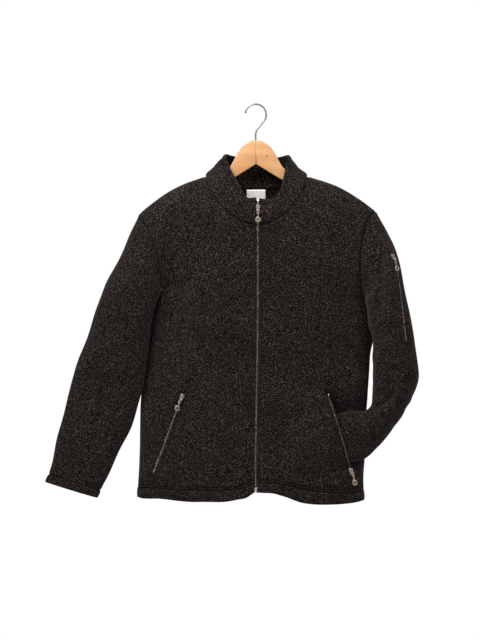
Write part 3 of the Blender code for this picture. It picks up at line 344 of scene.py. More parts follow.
BACK_CREASES = [
    (-205, -350, -150, -480, 12, 2.4),
    (-195, -400, -170, -600, 15, 2.0),
    (205, -345, 150, -470, 12, 2.4),
    (200, -410, 172, -590, 14, 2.2),
    (-110, -250, -60, -330, 28, 1.6),
    (105, -245, 70, -320, 26, 1.8),
    (0, -300, -8, -470, 34, 1.6),
    (-60, -560, -78, -760, 24, 2.0),
    (55, -600, 66, -800, 22, -1.8),
    (-190, -640, -205, -820, 18, 1.8),
    (190, -620, 200, -800, 18, -1.6),
    (0, -640, 12, -820, 30, 1.8),
    (-150, -800, -60, -830, 14, 1.2),
]
RIGHT_SLEEVE_CREASES = [
    (-262, -300, -300, -420, 14, 2.2),
    (-240, -400, -300, -455, 12, 2.6),
    (-255, -470, -335, -500, 13, 2.4),
    (-262, -540, -345, -560, 15, 2.0),
    (-285, -610, -372, -608, 14, 2.4),
    (-300, -660, -360, -700, 13, 2.0),
    (-372, -560, -385, -690, 16, -2.0),
    (-330, -750, -400, -742, 14, 1.8),
    (-350, -800, -420, -770, 10, 1.4),
]
LEFT_SLEEVE_CREASES = [
    (246, -418, 252, -490, 12, -4.5),
    (252, -480, 259, -560, 11, -3.5),
    (259, -550, 262, -650, 10, -2.6),
    (252, -668, 300, -634, 7, 9.0),
    (262, -640, 290, -622, 8, 3.5),
    (278, -545, 312, -560, 9, 4.0),
    (300, -580, 338, -612, 8, 3.5),
    (295, -300, 300, -420, 16, -2.0),
    (262, -500, 330, -528, 9, 2.6),
    (268, -590, 330, -575, 10, 3.0),
    (300, -480, 322, -560, 13, 1.8),
    (262, -610, 345, -612, 7, 2.6),
    (266, -625, 330, -668, 7, 2.6),
    (292, -640, 340, -650, 8, -2.4),
    (230, -668, 290, -690, 12, 2.4),
    (215, -700, 270, -730, 12, -2.0),
    (205, -745, 262, -745, 11, 2.2),
    (318, -655, 300, -715, 12, 2.0),
]
# Slow unevenness of the hung wool. Columns: wave length and height in millimetres, heading and phase
WAVES = [
    (190, 0.9, 20, 0.4), (143, 0.8, 100, 2.1), (97, 0.55, 62, 4.0), (71, 0.4, 150, 1.2), (53, 0.28, 8, 5.1),
]
# How much the waves shift with depth
WAVE_DEPTH_SHARE = 0.35
COLLAR_DENTS = [
    (-84, -190, -62, -240, 12, 1.6),
    (-100, -180, -96, -130, 10, 1.2),
    (80, -185, 60, -238, 12, 1.6),
    (100, -178, 92, -130, 10, 1.2),
    (-30, -215, -55, -262, 10, -1.0),
    (36, -214, 58, -258, 10, -1.0),
]

# The shoulders bow up between neck and tip, the collar's sides stand out and its front top edge up
SHOULDER_BOW = 12.5 * MM
SHOULDER_BOW_FADE = 95 * MM
COLLAR_SIDE_BOW = 9 * MM
COLLAR_FRONT_RISE = 4.6 * MM
COLLAR_RISE_REACH = 34 * MM
COLLAR_RIM_SHIFT = 4 * MM
SIDE_EASE = 2.0 * MM
EASE_ROWS = 2
EASE_START = 0.9

# Sewing
HEM_BAND_DENT = (1.8 * MM, 2.3 * MM)
CUFF_BAND = 19 * MM
CUFF_DENT = (1.8 * MM, 1.7 * MM)
STITCH_PITCH = 3.4 * MM
STITCH_LENGTH = 2.5 * MM
STITCH_RADIUS = 0.45 * MM
STITCH_DENT = (1.2 * MM, 0.9 * MM)
STITCH_SIDES = 6
STITCH_END = 0.45
BAND_BULGE = 1.2 * MM
# The hem's second line of stitches, above the first, and how near a side seam both fade out
SECOND_STITCH = 6.5 * MM
HEM_DENT_FADE = 12 * MM
SECOND_SHARE = 0.6
SIDE_CALM = 0.25
RIM_STITCH_AT = 11 * MM
RIM_DENT = (3.0 * MM, 0.9 * MM)
ZIP_STITCH_AT = 6.5 * MM
POCKET_STITCH_AT = 6.0 * MM

# Zips
ZIP_DEPTH = 2.2 * MM
TOOTH_PITCH = 2.7 * MM
TOOTH_SIZE = (2.1 * MM, 1.15 * MM, 1.6 * MM)
TOOTH_ROUNDING = 0.25 * MM
SLEEVE_TOOTH_PITCH = 2.1 * MM
SLEEVE_TOOTH_SIZE = (2.2 * MM, 1.15 * MM, 1.5 * MM)
PIPING_RADIUS = 2.0 * MM
PIPING_AT = 4.4 * MM

# Camera and light. The photograph is 480 by 640 pixels at 2.2 mm a pixel on the jacket
PIXEL = 2.2 * MM
PHOTO_SIZE = (480, 640)
PHOTO_ORIGIN = (256.2, 105.0)
CAMERA_DISTANCE = 8.0
SENSOR = 36.0

# Colours
WOOL_DARK = (0.0006, 0.0001, 0.0001)
WOOL_MIDDLE = (0.0016, 0.0003, 0.0001)
WOOL_LIGHT = (0.0540, 0.0425, 0.0370)
# Painted shade laid over the wool in its sewn grooves
GROOVE_SHADE_TONE = (0.22, 0.2, 0.2)
THREAD = (0.004, 0.0035, 0.003)
TAPE_COLOUR = (0.012, 0.0105, 0.010)
COPPER = (0.56, 0.47, 0.41)
COPPER_DARK = (0.07, 0.05, 0.042)
TEETH_COLOUR = (0.30, 0.235, 0.20)
# Painted glint: the stops take the copper drawn far brighter, standing in for their highlight
STOP_GLINT_COLOUR = (0.92, 0.88, 0.85)
TEETH_DARK = (0.03, 0.02, 0.016)
PINE_LIGHT = (0.47, 0.252, 0.107)
PINE_GRAIN = (0.418, 0.208, 0.084)
PINE_KNOT = (0.30, 0.13, 0.05)
STEEL = (0.24, 0.24, 0.25)
LABEL_WHITE = (0.95, 0.95, 0.93)
FLOOR_WHITE = (0.9, 0.9, 0.9)

# Fine patterns of the finishes. Columns: scale, detail, roughness
FLECKS = (480, 2, 0.6)
HAIRS = (900, 3, 0.7)
TINT = (90, 2, 0.6)
CLOUDS = (9, 2, 0.5)
LABEL_WEAVE = (1500, 2, 0.5)
PATINA = (420, 3, 0.6)
METAL_GRAIN = (1200, 2, 0.5)
WOOD_GRAIN = (26, 3, 0.55)
WOOD_RINGS = (60, 2, 0.5)
TAPE_WEAVE_SCALE = 900.0
TAPE_WEAVE_BEND = 0.6

# Tones laid over those patterns. Columns: place in the pattern, grey or colour
WOOL_TONES = [(0.42, WOOL_DARK), (0.52, WOOL_MIDDLE), (0.66, WOOL_LIGHT)]
HAIR_TONES = [(0.3, 0.55), (0.7, 1.5)]
TINT_TONES = [(0.35, (1.06, 0.99, 0.93)), (0.65, (0.95, 1.0, 1.06))]
CLOUD_TONES = [(0.3, 0.9), (0.7, 1.12)]
WORN_ROUGHNESS = [(0.35, 0.5), (0.6, 0.24)]
WOOD_TONES = [(0.35, PINE_LIGHT), (0.68, PINE_GRAIN)]
GRAIN_TONES = [(0.3, 0.93), (0.7, 1.04)]
KNOT_TONES = [(0.55, 1.0), (1.0, 0.0)]
# Places of a metal's dark and bright tones, and of a weave's, with the darker yarn's share
METAL_PLACES = (0.40, 0.56)
TAPE_PLACES = (0.2, 0.8)
TAPE_DARKER = 0.6
LABEL_PLACES = (0.3, 0.7)
LABEL_DARKER = 0.94

# How far the patterns stretch along x, y and z
LABEL_STRETCH = (1.0, 1.0, 0.35)
GRAIN_STRETCH = (0.35, 1.0, 3.2)
WOOD_RING_STRETCH = (0.16, 1.0, 1.0)

# How finishes take the light
WOOL_SURFACE = {"Roughness": 0.95, "Specular_IOR_Level": 0.06, "Sheen_Weight": 0.05,
                "Sheen_Roughness": 0.55, "Sheen_Tint": (0.75, 0.72, 0.70)}
TAPE_SURFACE = {"Roughness": 0.85, "Specular_IOR_Level": 0.25}
THREAD_SURFACE = {"Roughness": 0.8, "Specular_IOR_Level": 0.2}
STEEL_SURFACE = {"Roughness": 0.38, "Metallic": 1.0}
LABEL_ROUGHNESS = 0.6
PINE_ROUGHNESS = 0.5
FLOOR_ROUGHNESS = 0.9
# Relief of the patterns. Columns: height in metres, strength
WOOL_BUMP = 0.9 * MM
FLECK_RELIEF = (WOOL_BUMP, 0.7)
HAIR_RELIEF = (WOOL_BUMP / 3, 0.5)
TAPE_RELIEF = (WOOL_BUMP / 3, 0.6)
LABEL_RELIEF = (WOOL_BUMP / 4, 0.4)
METAL_RELIEF = (WOOL_BUMP / 8, 0.4)
GRAIN_RELIEF = (WOOL_BUMP / 3, 0.3)
# Sockets of a colour mix in the node tree
MIX_SHARE, MIX_FIRST, MIX_SECOND, MIX_RESULT = 0, 6, 7, 2

# Flat cut worked out for the cloth: least and largest share of its width times its length
AREA_SHARES = (0.31, 0.999)

# Which sewn lines make one piece of stitches
STITCHED = {
    "hem_right": ("hem_front_right", "zip_front_right", "pocket_inner_right", "pocket_outer_right"),
    "hem_left": ("hem_front_left", "zip_front_left", "pocket_inner_left", "pocket_outer_left"),
    "hem_back": ("hem_back",),
    "cuff_right": ("cuff_right",),
    "cuff_left": ("cuff_left",),
}
STITCH_PROUD = 0.1

# More of the zips
TAPE_PARTS = 3
TAPE_BEND = 0.35
TAPE_TUCK = 2.0 * MM
OPEN_TAPE_REACH = (2.4 * MM, 0.1 * MM)
TOOTH_RISE = 0.4 * MM
TOOTH_OFFSET = 0.8 * MM
POCKET_TOOTH_SIZE = (2.8 * MM, 1.3 * MM, 1.9 * MM)
POCKET_TOOTH_OFFSET = 1.2 * MM
SLEEVE_TOOTH_OFFSET = 0.5 * MM
FRONT_TEETH_START = 27 * MM
RIGHT_TEETH_START = 0.08
PIPING_LIFT = 0.25
PIPING_SIDES = 10
# A tube's rounded ends. Columns: place along it and radius, as shares of the tube's radius
TUBE_ENDS = [(-0.85, 0.5), (-0.5, 0.85)]
# No route runs along this direction
TUBE_SIDEWAYS = (0, 1.0, 0.1)
STOP_SIZE = (1.3 * MM, 7.0 * MM, 1.6 * MM)
STOP_AT = 3.0 * MM
STOP_ASIDE = 1.1 * MM
POCKET_STOP_AT = 3.0 * MM
FOOT_SIZE = (5.4 * MM, 9.0 * MM, 2.4 * MM)
FOOT_AT = -6.0 * MM

# Slider and pull, finer than the solids. Columns: x, y of the right half in millimetres
SLIDER_OUTLINE = [
    (1.4, 7.3), (3.2, 6.6), (4.4, 5.0), (4.8, 3.2), (4.6, 1.4), (3.8, -0.4), (3.5, -1.2), (3.8, -2.2),
    (3.8, -5.6), (2.9, -6.8), (1.0, -7.1),
]
SLIDER_HOLE = (3.0 * MM, 1.75 * MM)
HOLE_SIDES = 20
SLIDER_PLATE = 1.1 * MM
SLIDER_ROUNDING = 0.4 * MM
SLIDER_BELOW = 0.9 * MM
BAR_SIZE = (1.6 * MM, 3.0 * MM, 2.0 * MM)
EAR_ROUNDING = 0.25 * MM
# Half width in millimetres, and share of the reach from the pin to the ring
TAB_NECK = [(2.6, 0.02), (3.3, -0.1), (3.4, -0.3), (3.0, -0.4), (1.5, -0.46), (1.5, -0.6), (2.6, -0.72)]
TAB_ROUNDING = 0.45 * MM
RING_SIDES = 40
RING_HOLE_SIDES = 28
ROD_SIDES = 20

# Label, hanger and hook
LABEL_CELLS = 16
LABEL_TOP = 1.0 * MM
LABEL_CURL = 0.8 * MM
ARM_ROUND_SHARE = 0.4
ARM_CLOSING = 0.2 * MM
HOOK_STEPS = 140
HOOK_TURN_STEPS = 19
HOOK_SIDES = 20
KNOT_PLACE = (0.023, -0.0065, -0.113)
KNOT_RADIUS = 0.0035

# Light, in metres and watts
SKY_STRENGTH = 0.46
LIGHT_TARGET = (0.0, 0.0, -0.5)
KEY_PLACE = (-0.85, -1.15, 1.3)
KEY_SIZE = 1.5
KEY_POWER = 90.0
KEY_COLOUR = (1.0, 0.99, 0.97)
FILL_PLACE = (1.8, -1.9, 0.95)
FILL_SIZE = 1.8
FILL_POWER = 40.0
FILL_COLOUR = (0.97, 0.98, 1.0)
FLOOR_SIZE = 2.6
FLOOR_HEIGHT = -1.6


def smooth(share):
    """A share from 0 to 1 that starts and ends softly."""
    share = np.clip(share, 0, 1)
    return share**2 * (3 - 2 * share)


def distances(line):
    """Distance of each point of a line from its first, measured along it."""
    return np.concatenate([[0], np.cumsum(np.linalg.norm(np.diff(line, axis=0), axis=1))])


def between(values, places, at):
    """Rows of points or directions read at places between the rows."""
    return np.stack([np.interp(at, places, values[:, n]) for n in range(values.shape[1])], axis=-1)


def nearest(values, target):
    """Index of the value closest to the target."""
    return int(np.argmin(np.abs(values - target)))


def hermite(knots, values, at):
    """Smooth curve through values at rising knots, with slopes taken from the neighbours."""
    knots = np.asarray(knots, float)
    values = np.asarray(values, float)
    at = np.clip(np.asarray(at, float), knots[0], knots[-1])
    slopes = np.gradient(values, knots, axis=0)
    cell = np.clip(np.searchsorted(knots, at, side="right") - 1, 0, len(knots) - 2)
    step = knots[cell + 1] - knots[cell]
    t = (at - knots[cell]) / step
    if values.ndim > 1:
        t = t[..., None]
        step = step[..., None]
    return ((2 * t**3 - 3 * t**2 + 1) * values[cell] + (t**3 - 2 * t**2 + t) * step * slopes[cell]
            + (3 * t**2 - 2 * t**3) * values[cell + 1] + (t**3 - t**2) * step * slopes[cell + 1])


def profile(table, column, at):
    """One column of a table in millimetres, read at places of its first column."""
    rows = np.array(sorted(table), float) * MM
    return hermite(rows[:, 0], rows[:, column], at)


def along(table, fractions):
    """Points of a table in millimetres at fractions of the length of the curve through them."""
    points = np.asarray(table, float) * MM
    run = distances(points)
    return hermite(run / run[-1], points, fractions)


def unit(vectors):
    return vectors / np.maximum(np.linalg.norm(vectors, axis=-1, keepdims=True), TINY)


def grid_normals(grid, outward, wrap=False):
    """Surface directions of a grid of points, turned to the side that outward points to."""
    down = np.gradient(grid, axis=0)
    if wrap:
        across = np.roll(grid, -1, axis=1) - np.roll(grid, 1, axis=1)
    else:
        across = np.gradient(grid, axis=1)
    normals = unit(np.cross(down, across))
    flip = np.sum(normals * outward, axis=-1, keepdims=True) < 0
    return np.where(flip, -normals, normals)


def fold_depth(x, z, folds):
    """How far the folds push the cloth in at each place of the front view."""
    depth = np.zeros_like(x)
    for x0, z0, x1, z1, width, amount in np.asarray(folds, float) * MM:
        start = np.array([x0, z0])
        run = np.array([x1, z1]) - start
        length = np.hypot(*run)
        run = run / length
        across = (x - start[0]) * -run[1] + (z - start[1]) * run[0]
        place = ((x - start[0]) * run[0] + (z - start[1]) * run[1]) / length
        ends = smooth(np.minimum(place, 1 - place) * 3 + 0.5)
        depth += amount * ends * np.exp(-(across / width)**2)
    return depth


def side_tables(side):
    if side == "right":
        return RIGHT_ARMHOLE, RIGHT_SIDE, RIGHT_HEM, RIGHT_POCKET_LINE
    return LEFT_ARMHOLE, LEFT_SIDE, LEFT_HEM, LEFT_POCKET_LINE


def side_sign(side):
    return -1 if side == "right" else 1


def shoulder_line(side, x):
    """Height of the shoulder seam over x, level between the two sides of the neck."""
    tip_x, tip_z = np.asarray(side_tables(side)[0][0]) * MM
    neck_x = FRONT_NECK[-1][0] * MM
    share = np.clip((np.abs(x) - neck_x) / (abs(tip_x) - neck_x), 0, SHOULDER_END)
    return NECK_TOP * MM + share * (tip_z - NECK_TOP * MM)


def row_places(side):
    """Places of the rows on the outer edge: down the armhole, then heights down the side."""
    armhole = 0.5 - 0.5 * np.cos(np.linspace(0, math.pi, ARMHOLE_ROWS + 1))
    _, side_table, _, pocket = side_tables(side)
    armpit = side_table[0][1]
    hem = side_table[-1][1]
    stops = [armpit, pocket[0][1], pocket[-1][1], hem + HEM_BAND / MM, hem]
    heights = [np.linspace(a, b, n + 1)[1:] for a, b, n in zip(stops, stops[1:], SIDE_ROWS)]
    return armhole, np.concatenate(heights) * MM


def pocket_rows():
    """First and last row of the pocket's opening."""
    first = ARMHOLE_ROWS + SIDE_ROWS[0]
    return first, first + SIDE_ROWS[1]


def outer_edge(side):
    """Armhole and side seam: points x, z and the seam's y, one for each row."""
    armhole_table, side_table, _, _ = side_tables(side)
    armhole, heights = row_places(side)
    upper = along(armhole_table, armhole)
    rows = sorted((z, x, y) for x, z, y in side_table)
    x = profile(rows, 1, heights)
    y = profile(rows, 2, heights)
    points = np.vstack([upper, np.column_stack([x, heights])])
    seam_y = np.concatenate([np.zeros(len(upper)), y])
    return points, seam_y


def column_shares():
    neck = NECK_SHARE * np.linspace(0, 1, NECK_COLUMNS + 1)
    shoulder = np.sin(np.linspace(0, math.pi / 2, SHOULDER_COLUMNS + 1)[1:])
    return np.concatenate([neck, NECK_SHARE + (1 - NECK_SHARE) * shoulder])


def neckline(side, face):
    """Points x, z of the neck seam of one half, from the centre to the shoulder."""
    table = np.array(FRONT_NECK if face == "front" else BACK_NECK, float)
    points = along(np.column_stack([table[:, 0], -table[:, 1]]),
                   np.linspace(0, 1, NECK_COLUMNS + 1))
    points[:, 0] *= side_sign(side)
    points[:, 1] += NECK_TOP * MM
    if face == "front":
        edge = centre_edge(side, points[0, 1])
        reach = FRONT_NECK[-1][0] * MM
        points[:, 0] += edge * (1 - np.abs(points[:, 0]) / reach)
    return points


def centre_edge(side, z):
    """x of the front panel's edge beside the zip."""
    return profile(FRONT_ZIP_LINE, 1, z) + side_sign(side) * ZIP_HALF


def flat_panel(side, face):
    """Grid of x, z of a half panel, blended between its four edges."""
    armhole_table, _, hem_table, pocket = side_tables(side)
    shares = column_shares()
    edge, _ = outer_edge(side)
    neck = neckline(side, face)
    tip = np.asarray(armhole_table[0]) * MM
    part = (shares[NECK_COLUMNS + 1:] - NECK_SHARE) / (1 - NECK_SHARE)
    shoulder = neck[-1] + part[:, None] * (tip - neck[-1])
    top = np.vstack([neck, shoulder])

    drop = (edge[:, 1] - edge[0, 1]) / (edge[-1, 1] - edge[0, 1])
    hem_centre = profile(hem_table, 1, 0.0)
    centre_z = neck[0, 1] + drop * (hem_centre - neck[0, 1])
    centre_x = centre_edge(side, centre_z) if face == "front" else np.zeros_like(centre_z)
    centre = np.column_stack([centre_x, centre_z])
    hem_x = centre[-1, 0] + shares * (edge[-1, 0] - centre[-1, 0])
    hem = np.column_stack([hem_x, profile(hem_table, 1, hem_x)])
    hem[0] = centre[-1]

    u = shares[None, :, None]
    v = drop[:, None, None]
    grid = (1 - v) * top[None] + v * hem[None] + (1 - u) * centre[:, None] + u * edge[:, None]
    corners = ((1 - u) * (1 - v) * top[0] + u * (1 - v) * top[-1]
               + (1 - u) * v * hem[0] + u * v * hem[-1])
    grid = grid - corners
    if face == "front":
        steer_to_pocket(grid, side, pocket, shares)
    return grid


def steer_to_pocket(grid, side, pocket, shares):
    """Slides two columns of the grid on to the two lips of the slanted pocket."""
    first, last = pocket_rows()
    sign = side_sign(side)
    lips = along(pocket, np.linspace(0, 1, last - first + 1))
    rows = np.arange(len(grid))
    fade = np.interp(rows, [0, first, last, len(grid) - 1], [0, 1, 1, 0])[:, None]
    for column, offset in ((POCKET_COLUMN, -sign * POCKET_HALF),
                           (POCKET_COLUMN + 1, sign * POCKET_HALF)):
        target = lips + np.array([offset, 0])
        moves = target - grid[first:last + 1, column]
        move = moves[np.clip(rows, first, last) - first] * fade
        if column == POCKET_COLUMN:
            reach = np.where(shares <= shares[column], shares / shares[column], 0)
        else:
            reach = np.where(shares >= shares[column], (1 - shares) / (1 - shares[column]), 0)
        grid += reach[None, :, None] * move[:, None]


def panel(side, face):
    """Outer surface of a half panel as a grid of points."""
    shares = column_shares()
    edge, seam_y = outer_edge(side)
    flat = flat_panel(side, face)
    x = flat[..., 0]
    z = flat[..., 1]
    armpit = edge[ARMHOLE_ROWS, 1]
    rise = np.clip((edge[:, 1] - armpit) / ARMHOLE_FALL, 0, 1)
    edge_fullness = ARMHOLE_FULLNESS * np.sin(math.pi / 2 * rise)**ARMPIT_SOFTNESS
    roundness = np.sqrt(np.clip(1 - shares**SIDE_ROUNDNESS, 0, 1))
    fullness = edge_fullness[:, None] + (1 - edge_fullness[:, None]) * roundness[None]
    fall = np.clip((shoulder_line(side, x) - z) / SHOULDER_FALL, 0, 1)
    fall = np.sqrt(1 - (1 - fall)**2)
    column = 1 if face == "front" else 2
    front_sign = -1 if face == "front" else 1
    depth = profile(BODY_DEPTH, column, z) * fall * fullness
    folds = fold_depth(x, z, FRONT_FOLDS if face == "front" else BACK_FOLDS)
    calm = np.clip((1 - shares) / FOLD_CALM_SHARE, 0, 1)[None] * np.clip(fall, 0, 1)
    depth = depth - folds * calm
    y = front_sign * depth + seam_y[:, None] * shares[None]**SIDE_SEAM_POWER
    if face == "front" and side == "left":
        y = gaping_pocket(x, z, y)
    return np.stack([x, y, z], axis=-1)


def gaping_pocket(x, z, y):
    """Lifts the pocket's inner lip over the forearm and pushes the outer lip behind it."""
    reach = 1 - ((z - GAPE_CENTRE) / GAPE_HALF)**2
    gape = np.sqrt(np.clip(reach, 0, 1))
    lip_x = x[:, POCKET_COLUMN][:, None]
    edge_x = x[:, -1][:, None]
    inner = smooth(1 - (lip_x - x) / GAPE_FADE)
    outer = np.clip((edge_x - x) / (edge_x - lip_x), 0, 1)
    is_inner = np.arange(x.shape[1])[None] <= POCKET_COLUMN
    target = np.where(is_inner, GAPE_FRONT, GAPE_BACK)
    share = np.where(is_inner, inner, outer) * gape
    lip_y = np.where(is_inner, y[:, POCKET_COLUMN][:, None], y[:, POCKET_COLUMN + 1][:, None])
    return y + share * (target - lip_y)


def sleeve_sections(side, front, back):
    """Rings of a sleeve, from the armhole's own points to the cuff, front first from the top."""
    table, folds = ((RIGHT_SLEEVE, RIGHT_SLEEVE_FOLDS) if side == "right"
                    else (LEFT_SLEEVE, LEFT_SLEEVE_FOLDS))
    sign = side_sign(side)
    loop = np.vstack([front[:ARMHOLE_ROWS + 1, -1], back[1:ARMHOLE_ROWS, -1][::-1]])
    rings = [loop]
    angles = np.linspace(0, 2 * math.pi, 2 * ARMHOLE_ROWS + 1)[:-1]
    for x, z, width, slope, outer_y, inner_y, depth, turn in table:
        lean = math.radians(slope)
        outer = np.array([x, outer_y, z]) * MM
        inner = outer + np.array([-sign * math.cos(lean) * width, inner_y - outer_y,
                                  -math.sin(lean) * width]) * MM
        half = (outer - inner) / 2
        forward = np.array([0.0, -1.0, 0.0])
        forward = unit(forward - half * np.dot(forward, half) / np.dot(half, half))
        turned = angles + math.radians(turn) * np.abs(np.sin(angles))
        ring = ((outer + inner) / 2 + np.cos(turned)[:, None] * half
                + np.sin(turned)[:, None] * forward * depth * MM)
        rings.append(ring)
    grid = np.array(rings)
    middle = grid.mean(axis=1, keepdims=True)
    normals = grid_normals(grid, grid - middle, wrap=True)
    is_front = np.clip(-normals[..., 1], 0, 1)
    grid = grid - normals * (fold_depth(grid[..., 0], grid[..., 2], folds) * is_front)[..., None]
    grid[0] = loop
    return grid


def pull_back(points, normals, edge, amount=SEAM_GAP / 2, neighbour=None):
    """Moves one edge of a grid back from its seam, by half of the gap unless told otherwise."""
    index = {"top": (0, slice(None)), "bottom": (-1, slice(None)),
             "left": (slice(None), 0), "right": (slice(None), -1)}[edge]
    inside = {"top": (1, slice(None)), "bottom": (-2, slice(None)),
              "left": (slice(None), 1), "right": (slice(None), -2)}[edge]
    rim = points[index]
    tangent = np.gradient(rim, axis=0)
    away = unit(np.cross(normals[index], tangent))
    outward = rim - points[inside] if neighbour is None else neighbour
    outward = np.sum(away * outward, axis=-1, keepdims=True)
    away = np.where(outward < 0, -away, away)
    points[index] = rim - away * np.reshape(amount, (-1, 1))


def shoulder_normal(side):
    tip_x, tip_z = side_tables(side)[0][0]
    run = unit(np.array([abs(tip_x) - FRONT_NECK[-1][0], tip_z - NECK_TOP]))
    return np.array([-side_sign(side) * run[1], 0, run[0]])


def armhole_normals(side, loop):
    """Directions out of the armhole's loop, shared by the panels and the sleeve."""
    top = loop[0]
    chord = unit(top - loop[ARMHOLE_ROWS])
    half = np.linalg.norm(top - loop[ARMHOLE_ROWS]) / 2
    angles = np.linspace(0, 2 * math.pi, 2 * ARMHOLE_ROWS + 1)[:-1]
    depth = np.abs(loop[:, 1]).max()
    normals = unit(np.cos(angles)[:, None] / half * chord
                   + np.sin(angles)[:, None] / depth * np.array([0, -1.0, 0]))
    outward = np.array([side_sign(side), 0, 0])
    normals[ARMHOLE_ROWS] = unit(outward - chord)
    return normals


def side_normals(side, edge_points):
    tangent = np.gradient(edge_points, axis=0)
    tangent[:, 1] = 0
    normals = unit(np.cross(tangent, np.array([0, 1.0, 0])))
    return normals * np.sign(normals[:, :1]) * side_sign(side)


def collar_grid(necks):
    """Outer surface of the collar: rows up from the neck seam, columns from right to left front."""
    base = np.vstack([necks["right", "front"], necks["right", "back"][::-1][1:],
                      necks["left", "back"][1:], necks["left", "front"][::-1][1:]])
    halves = []
    for table, zip_side in ((COLLAR_TOP_RIGHT, -1), (COLLAR_TOP_LEFT, 1)):
        fractions = np.linspace(0, 1, 2 * NECK_COLUMNS + 1)
        points = along(table, fractions)
        start = profile(FRONT_ZIP_LINE, 1, points[0, 2]) + zip_side * ZIP_HALF
        fade = np.clip(1 - fractions * COLLAR_ZIP_FADE, 0, 1)
        points[:, 0] += (start - points[0, 0]) * fade
        halves.append(points)
    top = np.vstack([halves[0], halves[1][::-1][1:]])
    outward = (base + top) / 2
    outward[:, 2] = 0
    outward = unit(outward)
    grid = []
    for share in COLLAR_ROWS:
        bulge = COLLAR_BULGE * math.sin(math.pi * share)
        grid.append(base + share * (top - base) + outward * bulge)
    grid = np.array(grid)
    return grid, grid_normals(grid, np.broadcast_to(outward, grid.shape))


def garment():
    """Works out every cloth surface first, then shares the directions along each seam."""
    points = {}
    normals = {}
    for side in ("right", "left"):
        for face in ("front", "back"):
            grid = panel(side, face)
            points[side, face] = grid
            outward = np.array([0, -1.0 if face == "front" else 1.0, 0])
            normals[side, face] = grid_normals(grid, outward)
            if face == "front":
                part_at_pocket(grid, normals[side, face], outward)
    sleeves = {}
    for side in ("right", "left"):
        front = points[side, "front"]
        back = points[side, "back"]
        grid = sleeve_sections(side, front, back)
        sleeve_normals = grid_normals(grid, grid - grid.mean(axis=1, keepdims=True), wrap=True)
        rim = armhole_normals(side, grid[0])
        sleeve_normals[0] = rim
        sleeves[side] = (grid, sleeve_normals)
        seam = side_normals(side, front[ARMHOLE_ROWS:, -1])
        for face in ("front", "back"):
            own = normals[side, face]
            own[0, NECK_COLUMNS:] = shoulder_normal(side)
            own[ARMHOLE_ROWS:, -1] = seam
        normals[side, "front"][:ARMHOLE_ROWS + 1, -1] = rim[:ARMHOLE_ROWS + 1]
        back_rim = np.vstack([rim[:1], rim[ARMHOLE_ROWS:][::-1]])
        normals[side, "back"][:ARMHOLE_ROWS + 1, -1] = back_rim
    necks = {key: grid[0, :NECK_COLUMNS + 1] for key, grid in points.items()}
    collar, collar_normals = collar_grid(necks)
    share_neck_normals(normals, collar_normals)
    return points, normals, sleeves, collar, collar_normals


def part_at_pocket(grid, normals, outward):
    """Gives each lip of the pocket the direction of its own side of the panel."""
    first, last = pocket_rows()
    rows = slice(first, last + 1)
    lip = POCKET_COLUMN + 1
    normals[rows, :lip] = grid_normals(grid[:, :lip], outward)[rows]
    normals[rows, lip:] = grid_normals(grid[:, lip:], outward)[rows]


def neck_spans():
    """Columns of the collar that lie along the neck seam of each half panel, centre first."""
    n = NECK_COLUMNS
    return {("right", "front"): np.arange(0, n + 1), ("right", "back"): np.arange(2 * n, n - 1, -1),
            ("left", "back"): np.arange(2 * n, 3 * n + 1),
            ("left", "front"): np.arange(4 * n, 3 * n - 1, -1)}


def share_neck_normals(normals, collar_normals):
    """Gives the collar and the panels one direction at each point of the neck seam."""
    total = collar_normals[0].copy()
    for key, span in neck_spans().items():
        total[span] += normals[key][0, :NECK_COLUMNS + 1]
    collar_normals[0] = unit(total)
    for key, span in neck_spans().items():
        normals[key][0, :NECK_COLUMNS + 1] = collar_normals[0, span]


def sleeve_zip_rows(sleeve):
    """The sleeve pocket's line and the grid lines beside it."""
    grid, own = sleeve
    low, high = SLEEVE_ZIP_ROWS
    columns = [SLEEVE_ZIP_COLUMN - 1, SLEEVE_ZIP_COLUMN, SLEEVE_ZIP_COLUMN + 1]
    return grid[low:high + 1, columns], own[low:high + 1, columns]


def arm_outline(side):
    """Outline x, z of one half of the hanger, its top just under the shoulder seam."""
    neck_x = FRONT_NECK[-1][0]
    tip_x, tip_z = side_tables(side)[0][0]
    fall = (tip_z - NECK_TOP) / (abs(tip_x) - neck_x)
    under = CLOTH / MM / math.cos(math.atan(fall)) + ARM_CLEARANCE
    seats = [(x, NECK_TOP + (x - neck_x) * fall - under) for x in ARM_SEATS]
    top = np.array(ARM_TOP + seats, float)
    top = hermite(top[:, 0], top, np.linspace(top[0, 0], top[-1, 0], ARM_TOP_STEPS))
    tip_low = (ARM_SEATS[-1], seats[-1][1] - ARM_DEPTH_AT_TIP)
    bottom = np.array(ARM_BOTTOM + [tip_low], float)
    bottom = hermite(bottom[:, 0], bottom, np.linspace(bottom[0, 0], bottom[-1, 0], ARM_LOW_STEPS))
    centre = (top[-1] + bottom[-1]) / 2
    radius = np.linalg.norm(top[-1] - bottom[-1]) / 2
    start = math.atan2(*(top[-1] - centre)[::-1])
    turns = start - np.linspace(0, math.pi, ARM_LOW_STEPS)[1:-1]
    nose = np.column_stack([centre[0] + radius * np.cos(turns), centre[1] + radius * np.sin(turns)])
    outline = np.vstack([top, nose, bottom[::-1]])
    outline[:, 0] *= side_sign(side)
    return outline * MM


def hanging_frame(place, normal, run):
    """A frame on the cloth whose pin lies across the zip and whose -y hangs straight down."""
    across = Vector(np.cross(run, normal)).normalized()
    down = Vector((0, 0, -1))
    down = (down - across * down.dot(across)).normalized()
    turned = Matrix((across, -down, across.cross(-down))).transposed().to_4x4()
    turned.translation = Vector(place)
    return turned


